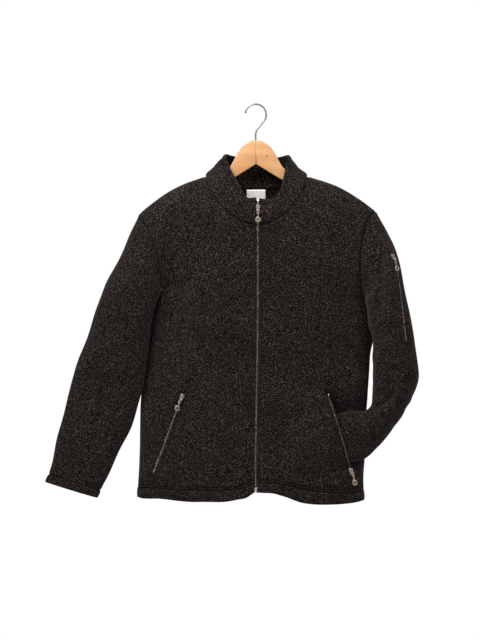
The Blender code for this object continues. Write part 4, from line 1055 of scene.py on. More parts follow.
def zip_places(surfaces):
    """Place, outward direction and upward run of the zip at each of the four sliders."""
    collar, collar_normals = surfaces["collar"]
    middle = (collar[:, 0] + collar[:, -1]) / 2
    out = unit(collar_normals[:, 0] + collar_normals[:, -1])
    place = between(middle, COLLAR_ROWS, FRONT_SLIDER_PLACE)
    places = {"front": (place, between(out, COLLAR_ROWS, FRONT_SLIDER_PLACE),
                        middle[-1] - middle[0])}
    first, last = pocket_rows()
    for side, row in (("right", first + RIGHT_SLIDER_PLACE), ("left", last + LEFT_SLIDER_PLACE)):
        grid, own = surfaces[side]
        rows = np.arange(len(grid))
        lips = slice(POCKET_COLUMN, POCKET_COLUMN + 2)
        line = grid[:, lips].mean(axis=1)
        out = own[:, lips].mean(axis=1)
        places["pocket_" + side] = (between(line, rows, row), between(out, rows, row),
                                    line[first] - line[last])
    points, normals = sleeve_zip_rows(surfaces["sleeve_left"])
    rows = np.arange(len(points))
    lift = normals[0, 1] * (SLEEVE_TAPE_LIFT + SLEEVE_TAPE)
    places["sleeve"] = (between(points[:, 1], rows, SLEEVE_SLIDER_PLACE) + lift,
                        between(normals[:, 1], rows, SLEEVE_SLIDER_PLACE),
                        points[0, 1] - points[1, 1])
    return places


# Finer grids

def grid_lines(parts, first=None, last=None, marks=()):
    """Places along a grid: each cell in its number of parts, and more lines by an edge or a groove.

    first and last are the widths of the first and last cells in metres, where that edge is rolled.
    Each mark is the place of a groove and the width of its cell."""
    stops = [0.0]
    for cell, count in enumerate(parts):
        stops += [cell + (n + 1) / count for n in range(count)]
    if first:
        stops += [step / first for step in EDGE_STEPS]
    if last:
        stops += [len(parts) - step / last for step in EDGE_STEPS]
    for place, width in marks:
        stops += [place + step / width for step in GROOVE_STEPS]
    return np.unique(np.round(stops, LINE_DECIMALS))


def smooth_along(grid, at, wrap=False):
    """Reads a grid smoothly at places along its first axis."""
    count = len(grid)
    flat = grid.reshape(count, -1)
    rows = np.arange(count)
    if wrap:
        rows = np.arange(-RING_OVERLAP, count + RING_OVERLAP + 1)
        flat = flat[rows % count]
    return hermite(rows, flat, at).reshape(len(at), *grid.shape[1:])


def refine(grid, rows, columns, wrap=False):
    tall = smooth_along(grid, rows)
    wide = smooth_along(np.swapaxes(tall, 0, 1), columns, wrap)
    return np.swapaxes(wide, 0, 1)


def refine_parted(grid, rows, columns):
    """Like refine, but in the rows of the pocket the two sides of its slot don't pull each other."""
    whole = refine(grid, rows, columns)
    lip = POCKET_COLUMN
    inner = refine(grid[:, :lip + 1], rows, columns[columns <= lip])
    outer = refine(grid[:, lip + 1:], rows, columns[columns >= lip + 1] - lip - 1)
    across = columns[(columns > lip) & (columns < lip + 1)] - lip
    across = across[None, :, None]
    middle = inner[:, -1:] * (1 - across) + outer[:, :1] * across
    parted = np.concatenate([inner, middle, outer], axis=1)
    first, last = pocket_rows()
    outside = np.maximum(np.maximum(first - rows, rows - last), 0)
    share = smooth(1 - outside / SLOT_FADE_ROWS)[:, None, None]
    return whole + share * (parted - whole)


def lengths(grid, axis):
    """Distance of each point from the first line of the grid, measured along the cloth."""
    step = np.linalg.norm(np.diff(grid, axis=axis), axis=-1)
    start = np.zeros_like(np.take(step, [0], axis=axis))
    return np.concatenate([start, np.cumsum(step, axis=axis)], axis=axis)


def edge_distance(grid, edges):
    """Distance of each point from the nearest of the named edges."""
    down = lengths(grid, 0)
    along_row = lengths(grid, 1)
    away = {"top": down, "bottom": down[-1:] - down,
            "left": along_row, "right": along_row[:, -1:] - along_row}
    return np.min([away[edge] for edge in edges], axis=0)


def body_distance(grid, rows, edges, sides):
    """Distance from a body panel's edges, with its side seams pressed flat below the armpit."""
    near = edge_distance(grid, edges)
    pressed_and_groove_shade = np.where(rows > ARMHOLE_ROWS, SIDE_PRESSED, 1)[:, None]
    return np.minimum(near, edge_distance(grid, sides) * pressed_and_groove_shade)


def hem_dents(below, to_side):
    """The hem's two sewn grooves and its puffed band, calmer towards the side seams."""
    second = dent(np.abs(below + SECOND_STITCH), HEM_BAND_DENT)
    grooves = dent(np.abs(below), HEM_BAND_DENT) + SECOND_SHARE * second
    calm = SIDE_CALM + (1 - SIDE_CALM) * np.clip(to_side / HEM_DENT_FADE, 0, 1)
    return grooves * calm - band_bulge(below, HEM_BAND)


def band_bulge(distance, reach):
    """How far a turned-up band stands out, by the distance below its stitch line."""
    share = np.clip(distance / reach, 0, 1)
    return BAND_BULGE * np.sqrt(np.sin(math.pi * share).clip(0))


def rolled(distance, radius):
    """How far the surface turns in at a distance from a rounded edge."""
    near = np.clip(1 - distance / radius, 0, 1)
    return radius * (1 - np.sqrt(1 - near**2))


def dent(distance, size):
    """A soft groove. size is its half width and its depth."""
    width, depth = size
    return depth * np.exp(-(distance / width)**2)


def waves(points):
    """Slow unevenness over the front view of the cloth."""
    height = np.zeros(points.shape[:-1])
    for length, amount, heading, phase in WAVES:
        turn = math.radians(heading)
        run = points[..., 0] * math.cos(turn) + points[..., 2] * math.sin(turn)
        run = run + WAVE_DEPTH_SHARE * points[..., 1]
        height += amount * MM * np.sin(2 * math.pi * run / (length * MM) + phase)
    return height


def shaped(points, normals, creases, distance):
    """Points pushed along their directions by creases and unevenness, which fade towards seams."""
    depth = fold_depth(points[..., 0], points[..., 2], creases) + waves(points)
    return points - normals * (depth * smooth(distance / CREASE_FADE))[..., None]


# Objects

def link(name, data, material, body="jacket", replaces=()):
    item = bpy.data.objects.new(name, data)
    bpy.context.scene.collection.objects.link(item)
    data.materials.clear()
    data.materials.append(material)
    data.shade_smooth()
    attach(item, body)
    if replaces:
        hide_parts(*replaces)
    return item


def new_mesh(name, points, faces):
    mesh = bpy.data.meshes.new(name)
    mesh.from_pydata(np.asarray(points).tolist(), [], faces)
    return mesh


def wall_mesh(name, outer, inner, wrap=False, holes=None, pressed_and_groove_shade=None):
    """A closed wall between two grids of points. holes marks the cells that are left out.

    Its last argument gives, from 0 to 1, how far sewing presses each place in, and so how much painted
    shade the wool finish lays in that groove."""
    rows, columns = outer.shape[:2]
    count = rows * columns
    wide = columns if wrap else columns - 1
    i, j = np.meshgrid(np.arange(rows - 1), np.arange(wide), indexing="ij")
    keep = np.ones(i.shape, bool) if holes is None else ~holes
    i, j = i[keep], j[keep]
    k = (j + 1) % columns
    cells = np.stack([i * columns + j, i * columns + k, (i + 1) * columns + k, (i + 1) * columns + j], 1)
    a, b, _, d = cells[len(cells) // 2]
    points = outer.reshape(-1, 3)
    toward_inner = inner.reshape(-1, 3)[a] - points[a]
    if np.dot(np.cross(points[b] - points[a], points[d] - points[a]), toward_inner) > 0:
        cells = cells[:, ::-1]
    sides = np.stack([cells, np.roll(cells, -1, axis=1)], axis=2).reshape(-1, 2)
    keys = sides[:, 0] * count + sides[:, 1]
    back_keys = sides[:, 1] * count + sides[:, 0]
    rim = sides[~np.isin(keys, back_keys)]
    rim_faces = np.stack([rim[:, 1], rim[:, 0], rim[:, 0] + count, rim[:, 1] + count], 1)
    faces = np.concatenate([cells, cells[:, ::-1] + count, rim_faces])
    mesh_points = np.concatenate([points, inner.reshape(-1, 3)])
    used = np.unique(faces)
    place = np.zeros(len(mesh_points), int)
    place[used] = np.arange(len(used))
    mesh = new_mesh(name, mesh_points[used], place[faces].tolist())
    # The attribute carries the painted groove shade to the wool finish
    if pressed_and_groove_shade is not None:
        values = np.tile(pressed_and_groove_shade.reshape(-1), 2)[used]
        mesh.attributes.new("pressed_and_groove_shade", "FLOAT", "POINT").data.foreach_set("value", values)
    return mesh


def cloth_piece(name, node, grid, normals, thickness, distance, creases, dents=0.0, wrap=False, holes=None):
    """One piece of wool: its creased wall with rolled edges. Returns the object and its outer surface."""
    surface = shaped(grid, normals, creases, distance)
    radius = ROLL_SHARE * thickness / 2
    turn_in = rolled(distance, radius)
    outer = surface - normals * (turn_in + dents)[..., None]
    least = turn_in + dents + LEAST_WALL
    inner = surface - normals * np.maximum(thickness - turn_in, least)[..., None]
    # How far each place lies in a sewn dent, from 0 to 1: the wool finish paints shade into the grooves by
    # it
    pressed_and_groove_shade = np.clip(np.broadcast_to(dents, thickness.shape) / GROOVE_SHADE_DEPTH, 0, 1)
    mesh = wall_mesh(name, outer, inner, wrap, holes, pressed_and_groove_shade)
    item = link(name, mesh, MATERIALS["wool"], replaces=(node,))
    return item, surface - normals * np.broadcast_to(dents, thickness.shape)[..., None]


def cell_width(grid, row=None, column=None):
    """Mean width of one row or column of coarse cells, numbered from 0, or from -1 at the far end."""
    axis, cell = (0, row) if row is not None else (1, column)
    widths = np.linalg.norm(np.diff(grid, axis=axis), axis=-1)
    return np.take(widths, cell, axis=axis).mean()


# Surfaces that share their seams

def fit_line(grid, edge, target, reach):
    """Moves one edge of a fine grid on to a line, and fades the move out over reach lines."""
    lines = np.swapaxes(grid, 0, 1)[::-1] if edge == "right" else grid
    fade = smooth(1 - np.arange(len(lines)) / reach)
    lines += fade[:, None, None] * (target - lines[0])[None]


def fine_surfaces(coarse):
    """Every cloth surface drawn finely, with the same lines of points along shared seams."""
    points, normals, sleeves, collar, collar_normals = coarse
    last_row = len(points["right", "front"]) - 1
    row_parts = [ROW_PARTS] * (last_row - FINE_HEM_ROWS) + [HEM_PARTS] * FINE_HEM_ROWS
    column_parts = [COLUMN_PARTS] * (NECK_COLUMNS + SHOULDER_COLUMNS)
    surfaces = {}
    collar_columns = grid_lines([COLUMN_PARTS] * 4 * NECK_COLUMNS, cell_width(collar, column=0),
                                cell_width(collar, column=-1))
    rim_width = cell_width(collar, row=-1)
    collar_rows = grid_lines([COLLAR_PARTS] * (len(collar) - 1), cell_width(collar, row=0), rim_width,
                             [(len(collar) - 1 - RIM_STITCH_AT / rim_width, rim_width)])
    surfaces["collar"] = (refine(collar, collar_rows, collar_columns),
                          unit(refine(collar_normals, collar_rows, collar_columns)),
                          collar_rows, collar_columns)
    neck_line = collar[0]
    for side in ("right", "left"):
        for face in ("front", "back"):
            grid = points[side, face]
            hem_start = last_row - HEM_ROWS
            above_hem = cell_width(grid, row=hem_start - 1)
            rows = grid_lines(row_parts, cell_width(grid, row=0), cell_width(grid, row=-1),
                              [(hem_start, cell_width(grid, row=hem_start)),
                               (hem_start - SECOND_STITCH / above_hem, above_hem)])
            centre_width = cell_width(grid, column=0) if face == "front" else None
            marks = [(ZIP_STITCH_AT / centre_width, centre_width)] if face == "front" else []
            columns = grid_lines(column_parts, centre_width, cell_width(grid, column=-1), marks)
            parted = refine_parted if face == "front" else refine
            fine = parted(grid, rows, columns)
            directions = unit(parted(normals[side, face], rows, columns))
            start, following = neck_spans()[side, face][:2]
            neck_at = start + (following - start) * columns[columns <= NECK_COLUMNS]
            neck = smooth_along(neck_line, neck_at)
            shoulder = smooth_along(grid[0, NECK_COLUMNS:], columns[columns > NECK_COLUMNS] - NECK_COLUMNS)
            fit_line(fine, "top", np.concatenate([neck, shoulder]), 2 * ROW_PARTS)
            above = rows <= ARMHOLE_ROWS
            edge = np.concatenate([smooth_along(grid[:ARMHOLE_ROWS + 1, -1], rows[above]),
                                   smooth_along(grid[ARMHOLE_ROWS:, -1], rows[~above] - ARMHOLE_ROWS)])
            fit_line(fine, "right", edge, 2 * COLUMN_PARTS)
            bow_shoulder(fine, side)
            ease_side(fine, side, rows)
            surfaces[side, face] = (fine, directions, rows, columns)
    for side in ("right", "left"):
        grid, own = sleeves[side]
        cuff_width = cell_width(grid, row=-1)
        rings = grid_lines([RING_PARTS] * (len(grid) - 1), cell_width(grid, row=0), cuff_width,
                       [(len(grid) - 1 - CUFF_BAND / cuff_width, cuff_width)])
        turns = grid_lines([ROW_PARTS] * 2 * ARMHOLE_ROWS)[:-1]
        fine = refine(grid, rings, turns, wrap=True)
        directions = unit(refine(own, rings, turns, wrap=True))
        loop = np.empty_like(fine[0])
        for face, at in (("front", turns), ("back", 2 * ARMHOLE_ROWS - turns)):
            edge, _, rows, _ = surfaces[side, face]
            held = (turns <= ARMHOLE_ROWS) if face == "front" else (turns > ARMHOLE_ROWS)
            loop[held] = between(edge[:, -1], rows, at[held])
        fit_line(fine, "top", loop, RING_PARTS * ARMHOLE_FIT_ROWS)
        surfaces["sleeve_" + side] = (fine, directions, rings, turns)
    return surfaces


def bow_shoulder(grid, side):
    """Bows the shoulder seam and the cloth below it up between the neck and the tip."""
    neck_x = FRONT_NECK[-1][0] * MM
    tip_x = abs(side_tables(side)[0][0][0]) * MM
    share = np.clip((np.abs(grid[..., 0]) - neck_x) / (tip_x - neck_x), 0, 1)
    below = shoulder_line(side, grid[..., 0]) - grid[..., 2]
    grid[..., 2] += SHOULDER_BOW * np.sin(math.pi * share) * smooth(1 - below / SHOULDER_BOW_FADE)


def ease_side(grid, side, rows):
    """Lets the side seam stand a little further out below the armpit."""
    down = smooth((rows - ARMHOLE_ROWS) / EASE_ROWS)[:, None]
    outer = smooth((np.abs(grid[..., 0]) / np.abs(grid[:, -1:, 0]) - EASE_START) / (1 - EASE_START))
    grid[..., 0] += side_sign(side) * SIDE_EASE * down * outer


def shape_collar(grid, rows):
    """Stands the collar's sides out, lifts its front top edge and moves its left rim inwards."""
    share = (rows / rows[-1])[:, None]
    x, y = grid[..., 0].copy(), grid[..., 1]
    aside = smooth((np.abs(x) - COLLAR_RISE_REACH) / COLLAR_RISE_REACH)
    forward = smooth(-y / COLLAR_RISE_REACH)
    grid[..., 0] += np.sign(x) * COLLAR_SIDE_BOW * np.sin(math.pi * share) * aside
    grid[..., 2] += COLLAR_FRONT_RISE * share**2 * forward * np.exp(-(x / COLLAR_RISE_REACH)**2)
    left_front = smooth(x / COLLAR_RISE_REACH) * forward
    grid[..., 0] -= COLLAR_RIM_SHIFT * share**2 * left_front


def doubled_from(rows, start, shape):
    """Thickness row by row: single cloth, doubled past the row where a turned-up band starts."""
    thickness = np.interp(rows, [start, start + 1], [CLOTH, DOUBLED])
    return np.broadcast_to(thickness[:, None], shape)


def hem(grid, rows, sides):
    """The hem's row, the dents of the hem and the seams, and the cloth's thickness."""
    start = rows[-1] - HEM_ROWS
    hem_row = nearest(rows, start)
    down = lengths(grid, 0)
    dents = hem_dents(down - down[hem_row], edge_distance(grid, sides))
    dents = dents + dent(body_distance(grid, rows, ("top",), sides), SEAM_DENT)
    return hem_row, dents, doubled_from(rows, start, grid.shape[:2])


def cells_between(grid_places, low, high):
    """Which cells of a grid lie between two of its lines."""
    return (grid_places[:-1] >= low - NEARLY) & (grid_places[1:] <= high + NEARLY)


def dent_beside(distance, at, size):
    return dent(np.abs(distance - at), size)


def make_fronts(surfaces, lines):
    first, last = pocket_rows()
    for side in ("right", "left"):
        grid, normals, rows, columns = surfaces[side, "front"]
        grid = grid.copy()
        for edge in ("top", "right"):
            pull_back(grid, normals, edge, -SEAM_OVERLAP)
        distance = body_distance(grid, rows, ("top", "bottom", "left"), ("right",))
        across = lengths(grid, 1)
        down = lengths(grid, 0)
        lip_columns = (columns <= POCKET_COLUMN) | (columns >= POCKET_COLUMN + 1)
        inner_lip = nearest(columns, POCKET_COLUMN)
        outer_lip = nearest(columns, POCKET_COLUMN + 1)
        from_lip = np.where(columns[None] <= POCKET_COLUMN, across[:, inner_lip][:, None] - across,
                            across - across[:, outer_lip][:, None])
        in_slot = (rows >= first) & (rows <= last)
        top_row, low_row = nearest(rows, first), nearest(rows, last)
        past = np.maximum(down[top_row][None] - down, 0) + np.maximum(down - down[low_row][None], 0)
        from_slot = np.hypot(np.maximum(from_lip, 0), past)
        slot_edge = np.where(in_slot[:, None] & lip_columns[None], np.maximum(from_lip, 0), 1.0)
        hem_row, dents, thickness = hem(grid, rows, ("right",))
        dents = dents + dent_beside(across, ZIP_STITCH_AT, STITCH_DENT)
        dents = dents + dent_beside(from_slot, POCKET_STITCH_AT, STITCH_DENT)
        slot_cells = cells_between(columns, POCKET_COLUMN, POCKET_COLUMN + 1)
        holes = cells_between(rows, first, last)[:, None] & slot_cells[None]
        item, outer = cloth_piece("wool_front_" + side, "front_" + side, grid, normals, thickness,
                                  np.minimum(distance, slot_edge), FRONT_CREASES, dents, holes=holes)
        lines["hem_front_" + side] = (outer[hem_row], normals[hem_row])
        stitched = nearest(across[len(rows) // 2], ZIP_STITCH_AT)
        lines["zip_front_" + side] = (outer[:, stitched], normals[:, stitched])
        for name, lip, step in (("inner", inner_lip, -1), ("outer", outer_lip, 1)):
            lines["pocket_%s_%s" % (name, side)] = offset_line(
                outer, normals, across, in_slot, lip, step, POCKET_STITCH_AT)
        declare(grid)


def offset_line(outer, normals, across, held, column, step, distance):
    """Points at a distance from one column, row by row, on the cloth's surface."""
    line = []
    directions = []
    for row in np.flatnonzero(held):
        target = across[row, column] + step * distance
        line.append(between(outer[row], across[row], target))
        directions.append(between(normals[row], across[row], target))
    return np.array(line), unit(np.array(directions))


def whole_back(right, left):
    """One grid of the back's two halves, which share their middle line."""
    return np.concatenate([right[:, ::-1], left[:, 1:]], axis=1)


def make_back(surfaces, lines):
    right, right_normals, rows, columns = surfaces["right", "back"]
    left, left_normals = surfaces["left", "back"][:2]
    grid = whole_back(right, left)
    normals = whole_back(right_normals, left_normals)
    middle = len(columns) - 1
    normals[:, middle] = unit(normals[:, middle] * np.array([0, 1, 1]))
    for edge in ("top", "left", "right"):
        pull_back(grid, normals, edge, -SEAM_OVERLAP)
    distance = body_distance(grid, rows, ("top", "bottom"), ("left", "right"))
    hem_row, dents, thickness = hem(grid, rows, ("left", "right"))
    item, outer = cloth_piece("wool_back", "back", grid, normals, thickness, distance, BACK_CREASES, dents)
    lines["hem_back"] = (outer[hem_row], normals[hem_row])
    declare(grid)


def make_sleeves(surfaces, lines):
    for side, folds in (("right", RIGHT_SLEEVE_CREASES), ("left", LEFT_SLEEVE_CREASES)):
        grid, normals, rings, turns = surfaces["sleeve_" + side]
        ring = np.concatenate([grid, grid[:, :1]], axis=1)
        ring_normals = np.concatenate([normals, normals[:, :1]], axis=1)
        near_armpit = np.clip(1 - np.abs(np.append(turns, 2 * ARMHOLE_ROWS) - ARMHOLE_ROWS) / 2, 0, 1)
        overlap = SEAM_OVERLAP + ARMPIT_OVERLAP * near_armpit
        pull_back(ring, ring_normals, "top", -overlap, np.array([-side_sign(side), 0, 0]))
        grid = ring[:, :-1]
        distance = edge_distance(grid, ("top", "bottom"))
        down = lengths(grid, 0)
        from_cuff = down[-1:] - down
        dents = dent_beside(from_cuff, CUFF_BAND, CUFF_DENT) + dent(down, SEAM_DENT)
        dents = dents - band_bulge(CUFF_BAND - from_cuff, CUFF_BAND)
        thickness = doubled_from(rings, rings[-1] - 1, grid.shape[:2])
        item, outer = cloth_piece("wool_sleeve_" + side, "sleeve_" + side, grid, normals, thickness,
                                  distance, folds, dents, wrap=True)
        cuff = nearest(from_cuff.mean(axis=1), CUFF_BAND)
        lines["cuff_" + side] = (np.concatenate([outer[cuff], outer[cuff][:1]]),
                                 np.concatenate([normals[cuff], normals[cuff][:1]]))
        declare(grid, wrap=True)


def make_collar(surfaces):
    grid, normals, rows = surfaces["collar"][:3]
    grid = grid.copy()
    shape_collar(grid, rows)
    pull_back(grid, normals, "top", -SEAM_OVERLAP)
    distance = edge_distance(grid, ("top", "bottom", "left", "right"))
    thickness = doubled_from(rows, 0, grid.shape[:2])
    dents = dent(edge_distance(grid, ("top",)), SEAM_DENT)
    dents = dents + dent_beside(edge_distance(grid, ("bottom",)), RIM_STITCH_AT, RIM_DENT)
    item, _ = cloth_piece("wool_collar", "collar", grid, normals, thickness, distance, COLLAR_DENTS, dents)
    declare(grid)


def declare(grid, wrap=False):
    """Works out the area of one cloth piece's flat cut, measured along its own surface, and leaves it
    unused.
    """
    closed = np.concatenate([grid, grid[:, :1]], axis=1) if wrap else grid
    width = lengths(closed, 1)[:, -1].max()
    length = lengths(closed, 0)[-1].max()
    down = closed[1:, 1:] - closed[:-1, :-1]
    over = closed[:-1, 1:] - closed[1:, :-1]
    area = np.linalg.norm(np.cross(down, over), axis=-1).sum() / 2
    area = float(np.clip(area, AREA_SHARES[0] * width * length, AREA_SHARES[1] * width * length))


# Sewing

def resample(line, directions, pitch):
    """Equally spaced points on a line, with its outward and onward directions there."""
    run = distances(line)
    count = max(int(run[-1] / pitch), 1)
    at = (np.arange(count) + 0.5) * run[-1] / count
    ahead = between(line, run, at + pitch / 4)
    behind = between(line, run, at - pitch / 4)
    return between(line, run, at), unit(between(directions, run, at)), unit(ahead - behind)


def placed_copies(shape, points, across, along_run, out):
    """Copies of a small shape of points, one at each place, as one list of points."""
    axes = np.stack([across, along_run, out], axis=1)
    return points[:, None] + np.einsum("sk,nkx->nsx", shape, axes)


def copies_mesh(name, shape, faces, groups):
    """One mesh of many copies of a small shape. groups holds places and directions."""
    blocks = [placed_copies(shape, *group) for group in groups]
    points = np.concatenate(blocks).reshape(-1, 3)
    count = len(points) // len(shape)
    all_faces = [[corner + n * len(shape) for corner in face] for n in range(count) for face in faces]
    return new_mesh(name, points, all_faces)


def round_turns(sides):
    return np.linspace(0, 2 * math.pi, sides, endpoint=False)


def ring_faces(rings, sides):
    """Faces of a round form from its rings of points, with both ends closed."""
    faces = []
    for ring in range(rings - 1):
        for n in range(sides):
            a = ring * sides + n
            b = ring * sides + (n + 1) % sides
            faces.append([a, b, b + sides, a + sides])
    faces.append(list(range(sides))[::-1])
    faces.append([(rings - 1) * sides + n for n in range(sides)])
    return faces


def capsule_shape(length, radius):
    """A short rounded thread along y: points and faces."""
    rings = [(-length / 2, STITCH_END), (-length / 4, 1.0), (length / 4, 1.0), (length / 2, STITCH_END)]
    points = [(radius * s * math.cos(t), y, radius * s * math.sin(t))
              for y, s in rings for t in round_turns(STITCH_SIDES)]
    faces = [face[::-1] for face in ring_faces(len(rings), STITCH_SIDES)]
    return np.array(points), faces


def make_stitches(lines):
    shape, faces = capsule_shape(STITCH_LENGTH, STITCH_RADIUS)
    for piece, names in STITCHED.items():
        groups = []
        for name in names:
            points, out, run = resample(*lines[name], STITCH_PITCH)
            sunk = points + out * STITCH_RADIUS * STITCH_PROUD
            groups.append((sunk, np.cross(run, out), run, out))
        mesh = copies_mesh("stitches_" + piece, shape, faces, groups)
        link("stitches_" + piece, mesh, MATERIALS["thread"])


# Zips

def box_shape(size, rounding):
    """A small box with bevelled edges, as points and faces."""
    shape = bmesh.new()
    bmesh.ops.create_cube(shape, size=1.0)
    bmesh.ops.scale(shape, vec=size, verts=shape.verts)
    bmesh.ops.bevel(shape, geom=list(shape.edges), offset=rounding, segments=1, affect="EDGES")
    points = np.array([v.co[:] for v in shape.verts])
    shape.verts.index_update()
    faces = [[v.index for v in f.verts] for f in shape.faces]
    shape.free()
    return points, faces


def tape_piece(name, nodes, strip, normals, thickness=TAPE):
    """A woven tape along a zip, its rows drawn finely."""
    rows = grid_lines([ROW_PARTS] * (len(strip) - 1))
    columns = grid_lines([TAPE_PARTS] * (strip.shape[1] - 1))
    grid = refine(strip, rows, columns)
    directions = unit(refine(normals, rows, columns))
    mesh = wall_mesh(name, grid, grid - directions * thickness)
    link(name, mesh, MATERIALS["tape"], replaces=nodes)
    return grid, directions


def tooth_rows(name, lines, size, pitch):
    """Zip teeth along lines.

    Columns of lines: points, directions, side of the teeth, start in pitches, distance from the line."""
    shape, faces = box_shape(size, TOOTH_ROUNDING)
    groups = []
    for line, directions, side, shift, reach in lines:
        points, out, run = resample(line, directions, pitch)
        points = points + run * pitch * shift
        across = np.cross(run, out) * side
        points = points + across * reach + out * TOOTH_RISE
        groups.append((points, across, run, np.cross(across, run)))
    link(name, copies_mesh(name, shape, faces, groups), MATERIALS["teeth"])


def closed_teeth(line, directions, reach):
    """The two rows of teeth that mesh along a closed zip, as lines for tooth_rows."""
    return [(line, directions, 1, 0.0, reach), (line, directions, -1, 0.5, reach)]


def toward(points, from_column, to_column, reach):
    """Points on the straight line from one column towards another, at a distance."""
    start = points[:, from_column]
    step = points[:, to_column] - start
    length = np.linalg.norm(step, axis=-1, keepdims=True)
    return start + step / length * reach


def make_front_zip(coarse):
    points, normals, _, collar, collar_normals = coarse
    middle = {}
    for side, column, inner_column in (("right", 0, 1), ("left", -1, -2)):
        grid = points[side, "front"]
        own = normals[side, "front"]
        edge = np.vstack([collar[::-1][:-1][:, [column, inner_column]], grid[:, [0, 1]]])
        directions = np.vstack([collar_normals[::-1][:-1][:, [column, inner_column]], own[:, [0, 1]]])
        depth = np.full(len(edge), CLOTH)
        depth[:len(collar) - 1] = DOUBLED
        depth[-2:] = DOUBLED
        face = edge - directions * (depth[:, None, None] + TAPE_GAP)
        raised = edge - directions * ZIP_DEPTH
        inner_edge = toward(raised, 0, 1, -(ZIP_HALF - TAPE_SPLIT))
        bent = toward(raised, 0, 1, -ZIP_HALF * TAPE_BEND)
        under = toward(face, 0, 1, ZIP_TAPE_REACH)
        beside = toward(face, 0, 1, TAPE_TUCK)
        strip = np.stack([inner_edge, bent, beside, under], axis=1)
        strip_normals = np.repeat(directions[:, :1], 4, axis=1)
        fine, fine_normals = tape_piece("zip_tape_front_" + side, ("front_zip_tape_" + side,), strip,
                                        strip_normals)
        middle[side] = (fine[:, 0], fine_normals[:, 0])
    line = (middle["right"][0] + middle["left"][0]) / 2
    out = unit(middle["right"][1] + middle["left"][1])
    low = int(np.searchsorted(distances(line), FRONT_TEETH_START))
    teeth = closed_teeth(line[low:], out[low:], TOOTH_OFFSET)
    tooth_rows("teeth_front", teeth, TOOTH_SIZE, TOOTH_PITCH)
    return line, out


def make_pocket_zips(coarse):
    """Both pockets' tapes and teeth. Returns the left one's inner edge, for its stop."""
    points, normals = coarse[:2]
    first, last = pocket_rows()
    rows = slice(first, last + 1)
    lip = POCKET_COLUMN
    for side in ("right", "left"):
        grid = points[side, "front"]
        own = normals[side, "front"]
        gaps = {"inner": TAPE_GAP, "outer": TAPE_GAP}
        if side == "left":
            gaps = {"inner": INNER_LIP_TAPE_GAP, "outer": OUTER_LIP_TAPE_GAP}
        edges = {}
        for name, column, beyond in (("inner", lip, lip - 1), ("outer", lip + 1, lip + 2)):
            under = grid[rows] - own[rows] * (CLOTH + gaps[name])
            raised = grid[rows] - own[rows] * ZIP_DEPTH
            out_reach = np.full((last - first + 1, 1), POCKET_HALF - TAPE_SPLIT)
            if side == "left":
                out_reach = np.geomspace(*OPEN_TAPE_REACH, last - first + 1)[:, None]
            strip = np.stack([toward(raised, column, beyond, -out_reach),
                              toward(raised, column, beyond, -out_reach * TAPE_BEND),
                              toward(under, column, beyond, TAPE_TUCK),
                              toward(under, column, beyond, POCKET_TAPE_REACH)], axis=1)
            directions = np.repeat(own[rows, column][:, None], 4, axis=1)
            if side == "right":
                nodes = ("pocket_zip_tape_right",) if name == "inner" else ()
            else:
                nodes = ("pocket_zip_tape_left_" + name,)
            tape = "zip_tape_pocket_%s_%s" % (side, name)
            fine, fine_normals = tape_piece(tape, nodes, strip, directions)
            edges[name] = (fine[:, 0], fine_normals[:, 0])
        if side == "right":
            line = (edges["inner"][0] + edges["outer"][0]) / 2
            out = unit(edges["inner"][1] + edges["outer"][1])
            start = int(len(line) * RIGHT_TEETH_START)
            teeth = closed_teeth(line[start:], out[start:], POCKET_TOOTH_OFFSET)
            tooth_rows("teeth_pocket_right", teeth, POCKET_TOOTH_SIZE, TOOTH_PITCH)
        else:
            teeth = [(*edges["inner"], 1, 0.0, 0.0), (*edges["outer"], 1, 0.5, 0.0)]
            tooth_rows("teeth_pocket_left", teeth, TOOTH_SIZE, TOOTH_PITCH)
    return edges["inner"]


def sideways(points, reach):
    """Points beside the middle one of three columns, towards the first where reach is below 0."""
    return toward(points, 1, 0, -reach) if reach < 0 else toward(points, 1, 2, reach)


def make_sleeve_zip(coarse):
    points, normals = sleeve_zip_rows(coarse[2]["left"])
    reaches = (-SLEEVE_TAPE_HALF, -SLEEVE_TAPE_HALF / 3, 0.0, SLEEVE_TAPE_HALF / 3, SLEEVE_TAPE_HALF)
    strip = np.stack([sideways(points, reach) for reach in reaches], axis=1)
    directions = np.repeat(normals[:, 1:2], len(reaches), axis=1)
    lifted = strip + directions * (SLEEVE_TAPE_LIFT + SLEEVE_TAPE)
    fine, fine_normals = tape_piece("zip_tape_sleeve", ("sleeve_zip_tape",), lifted, directions,
                                    SLEEVE_TAPE)
    middle = fine.shape[1] // 2
    teeth = closed_teeth(fine[:, middle], fine_normals[:, middle], SLEEVE_TOOTH_OFFSET)
    tooth_rows("teeth_sleeve", teeth, SLEEVE_TOOTH_SIZE, SLEEVE_TOOTH_PITCH)
    for side, reach in (("inner", -PIPING_AT), ("outer", PIPING_AT)):
        edge = sideways(points, reach)
        route = smooth_along(edge + directions[:, 0] * PIPING_RADIUS * PIPING_LIFT,
                             grid_lines([ROW_PARTS] * (len(edge) - 1)))
        pipe = tube("sleeve_piping_" + side, route, PIPING_RADIUS, PIPING_SIDES)
        link("sleeve_piping_" + side, pipe, MATERIALS["wool"])


def tube(name, route, radius, sides):
    """A round tube along a route, with rounded ends, as a mesh."""
    tangent = unit(np.gradient(route, axis=0))
    side = unit(np.cross(tangent, np.array(TUBE_SIDEWAYS)))
    up = np.cross(side, tangent)
    rings = [(route[0] + tangent[0] * radius * s, r, 0) for s, r in TUBE_ENDS]
    rings += [(point, 1.0, n) for n, point in enumerate(route)]
    rings += [(route[-1] - tangent[-1] * radius * s, r, len(route) - 1) for s, r in reversed(TUBE_ENDS)]
    points = []
    for centre, share, n in rings:
        for turn in round_turns(sides):
            points.append(centre + radius * share * (math.cos(turn) * side[n] + math.sin(turn) * up[n]))
    return new_mesh(name, points, ring_faces(len(rings), sides))


# Sliders, pulls and stops

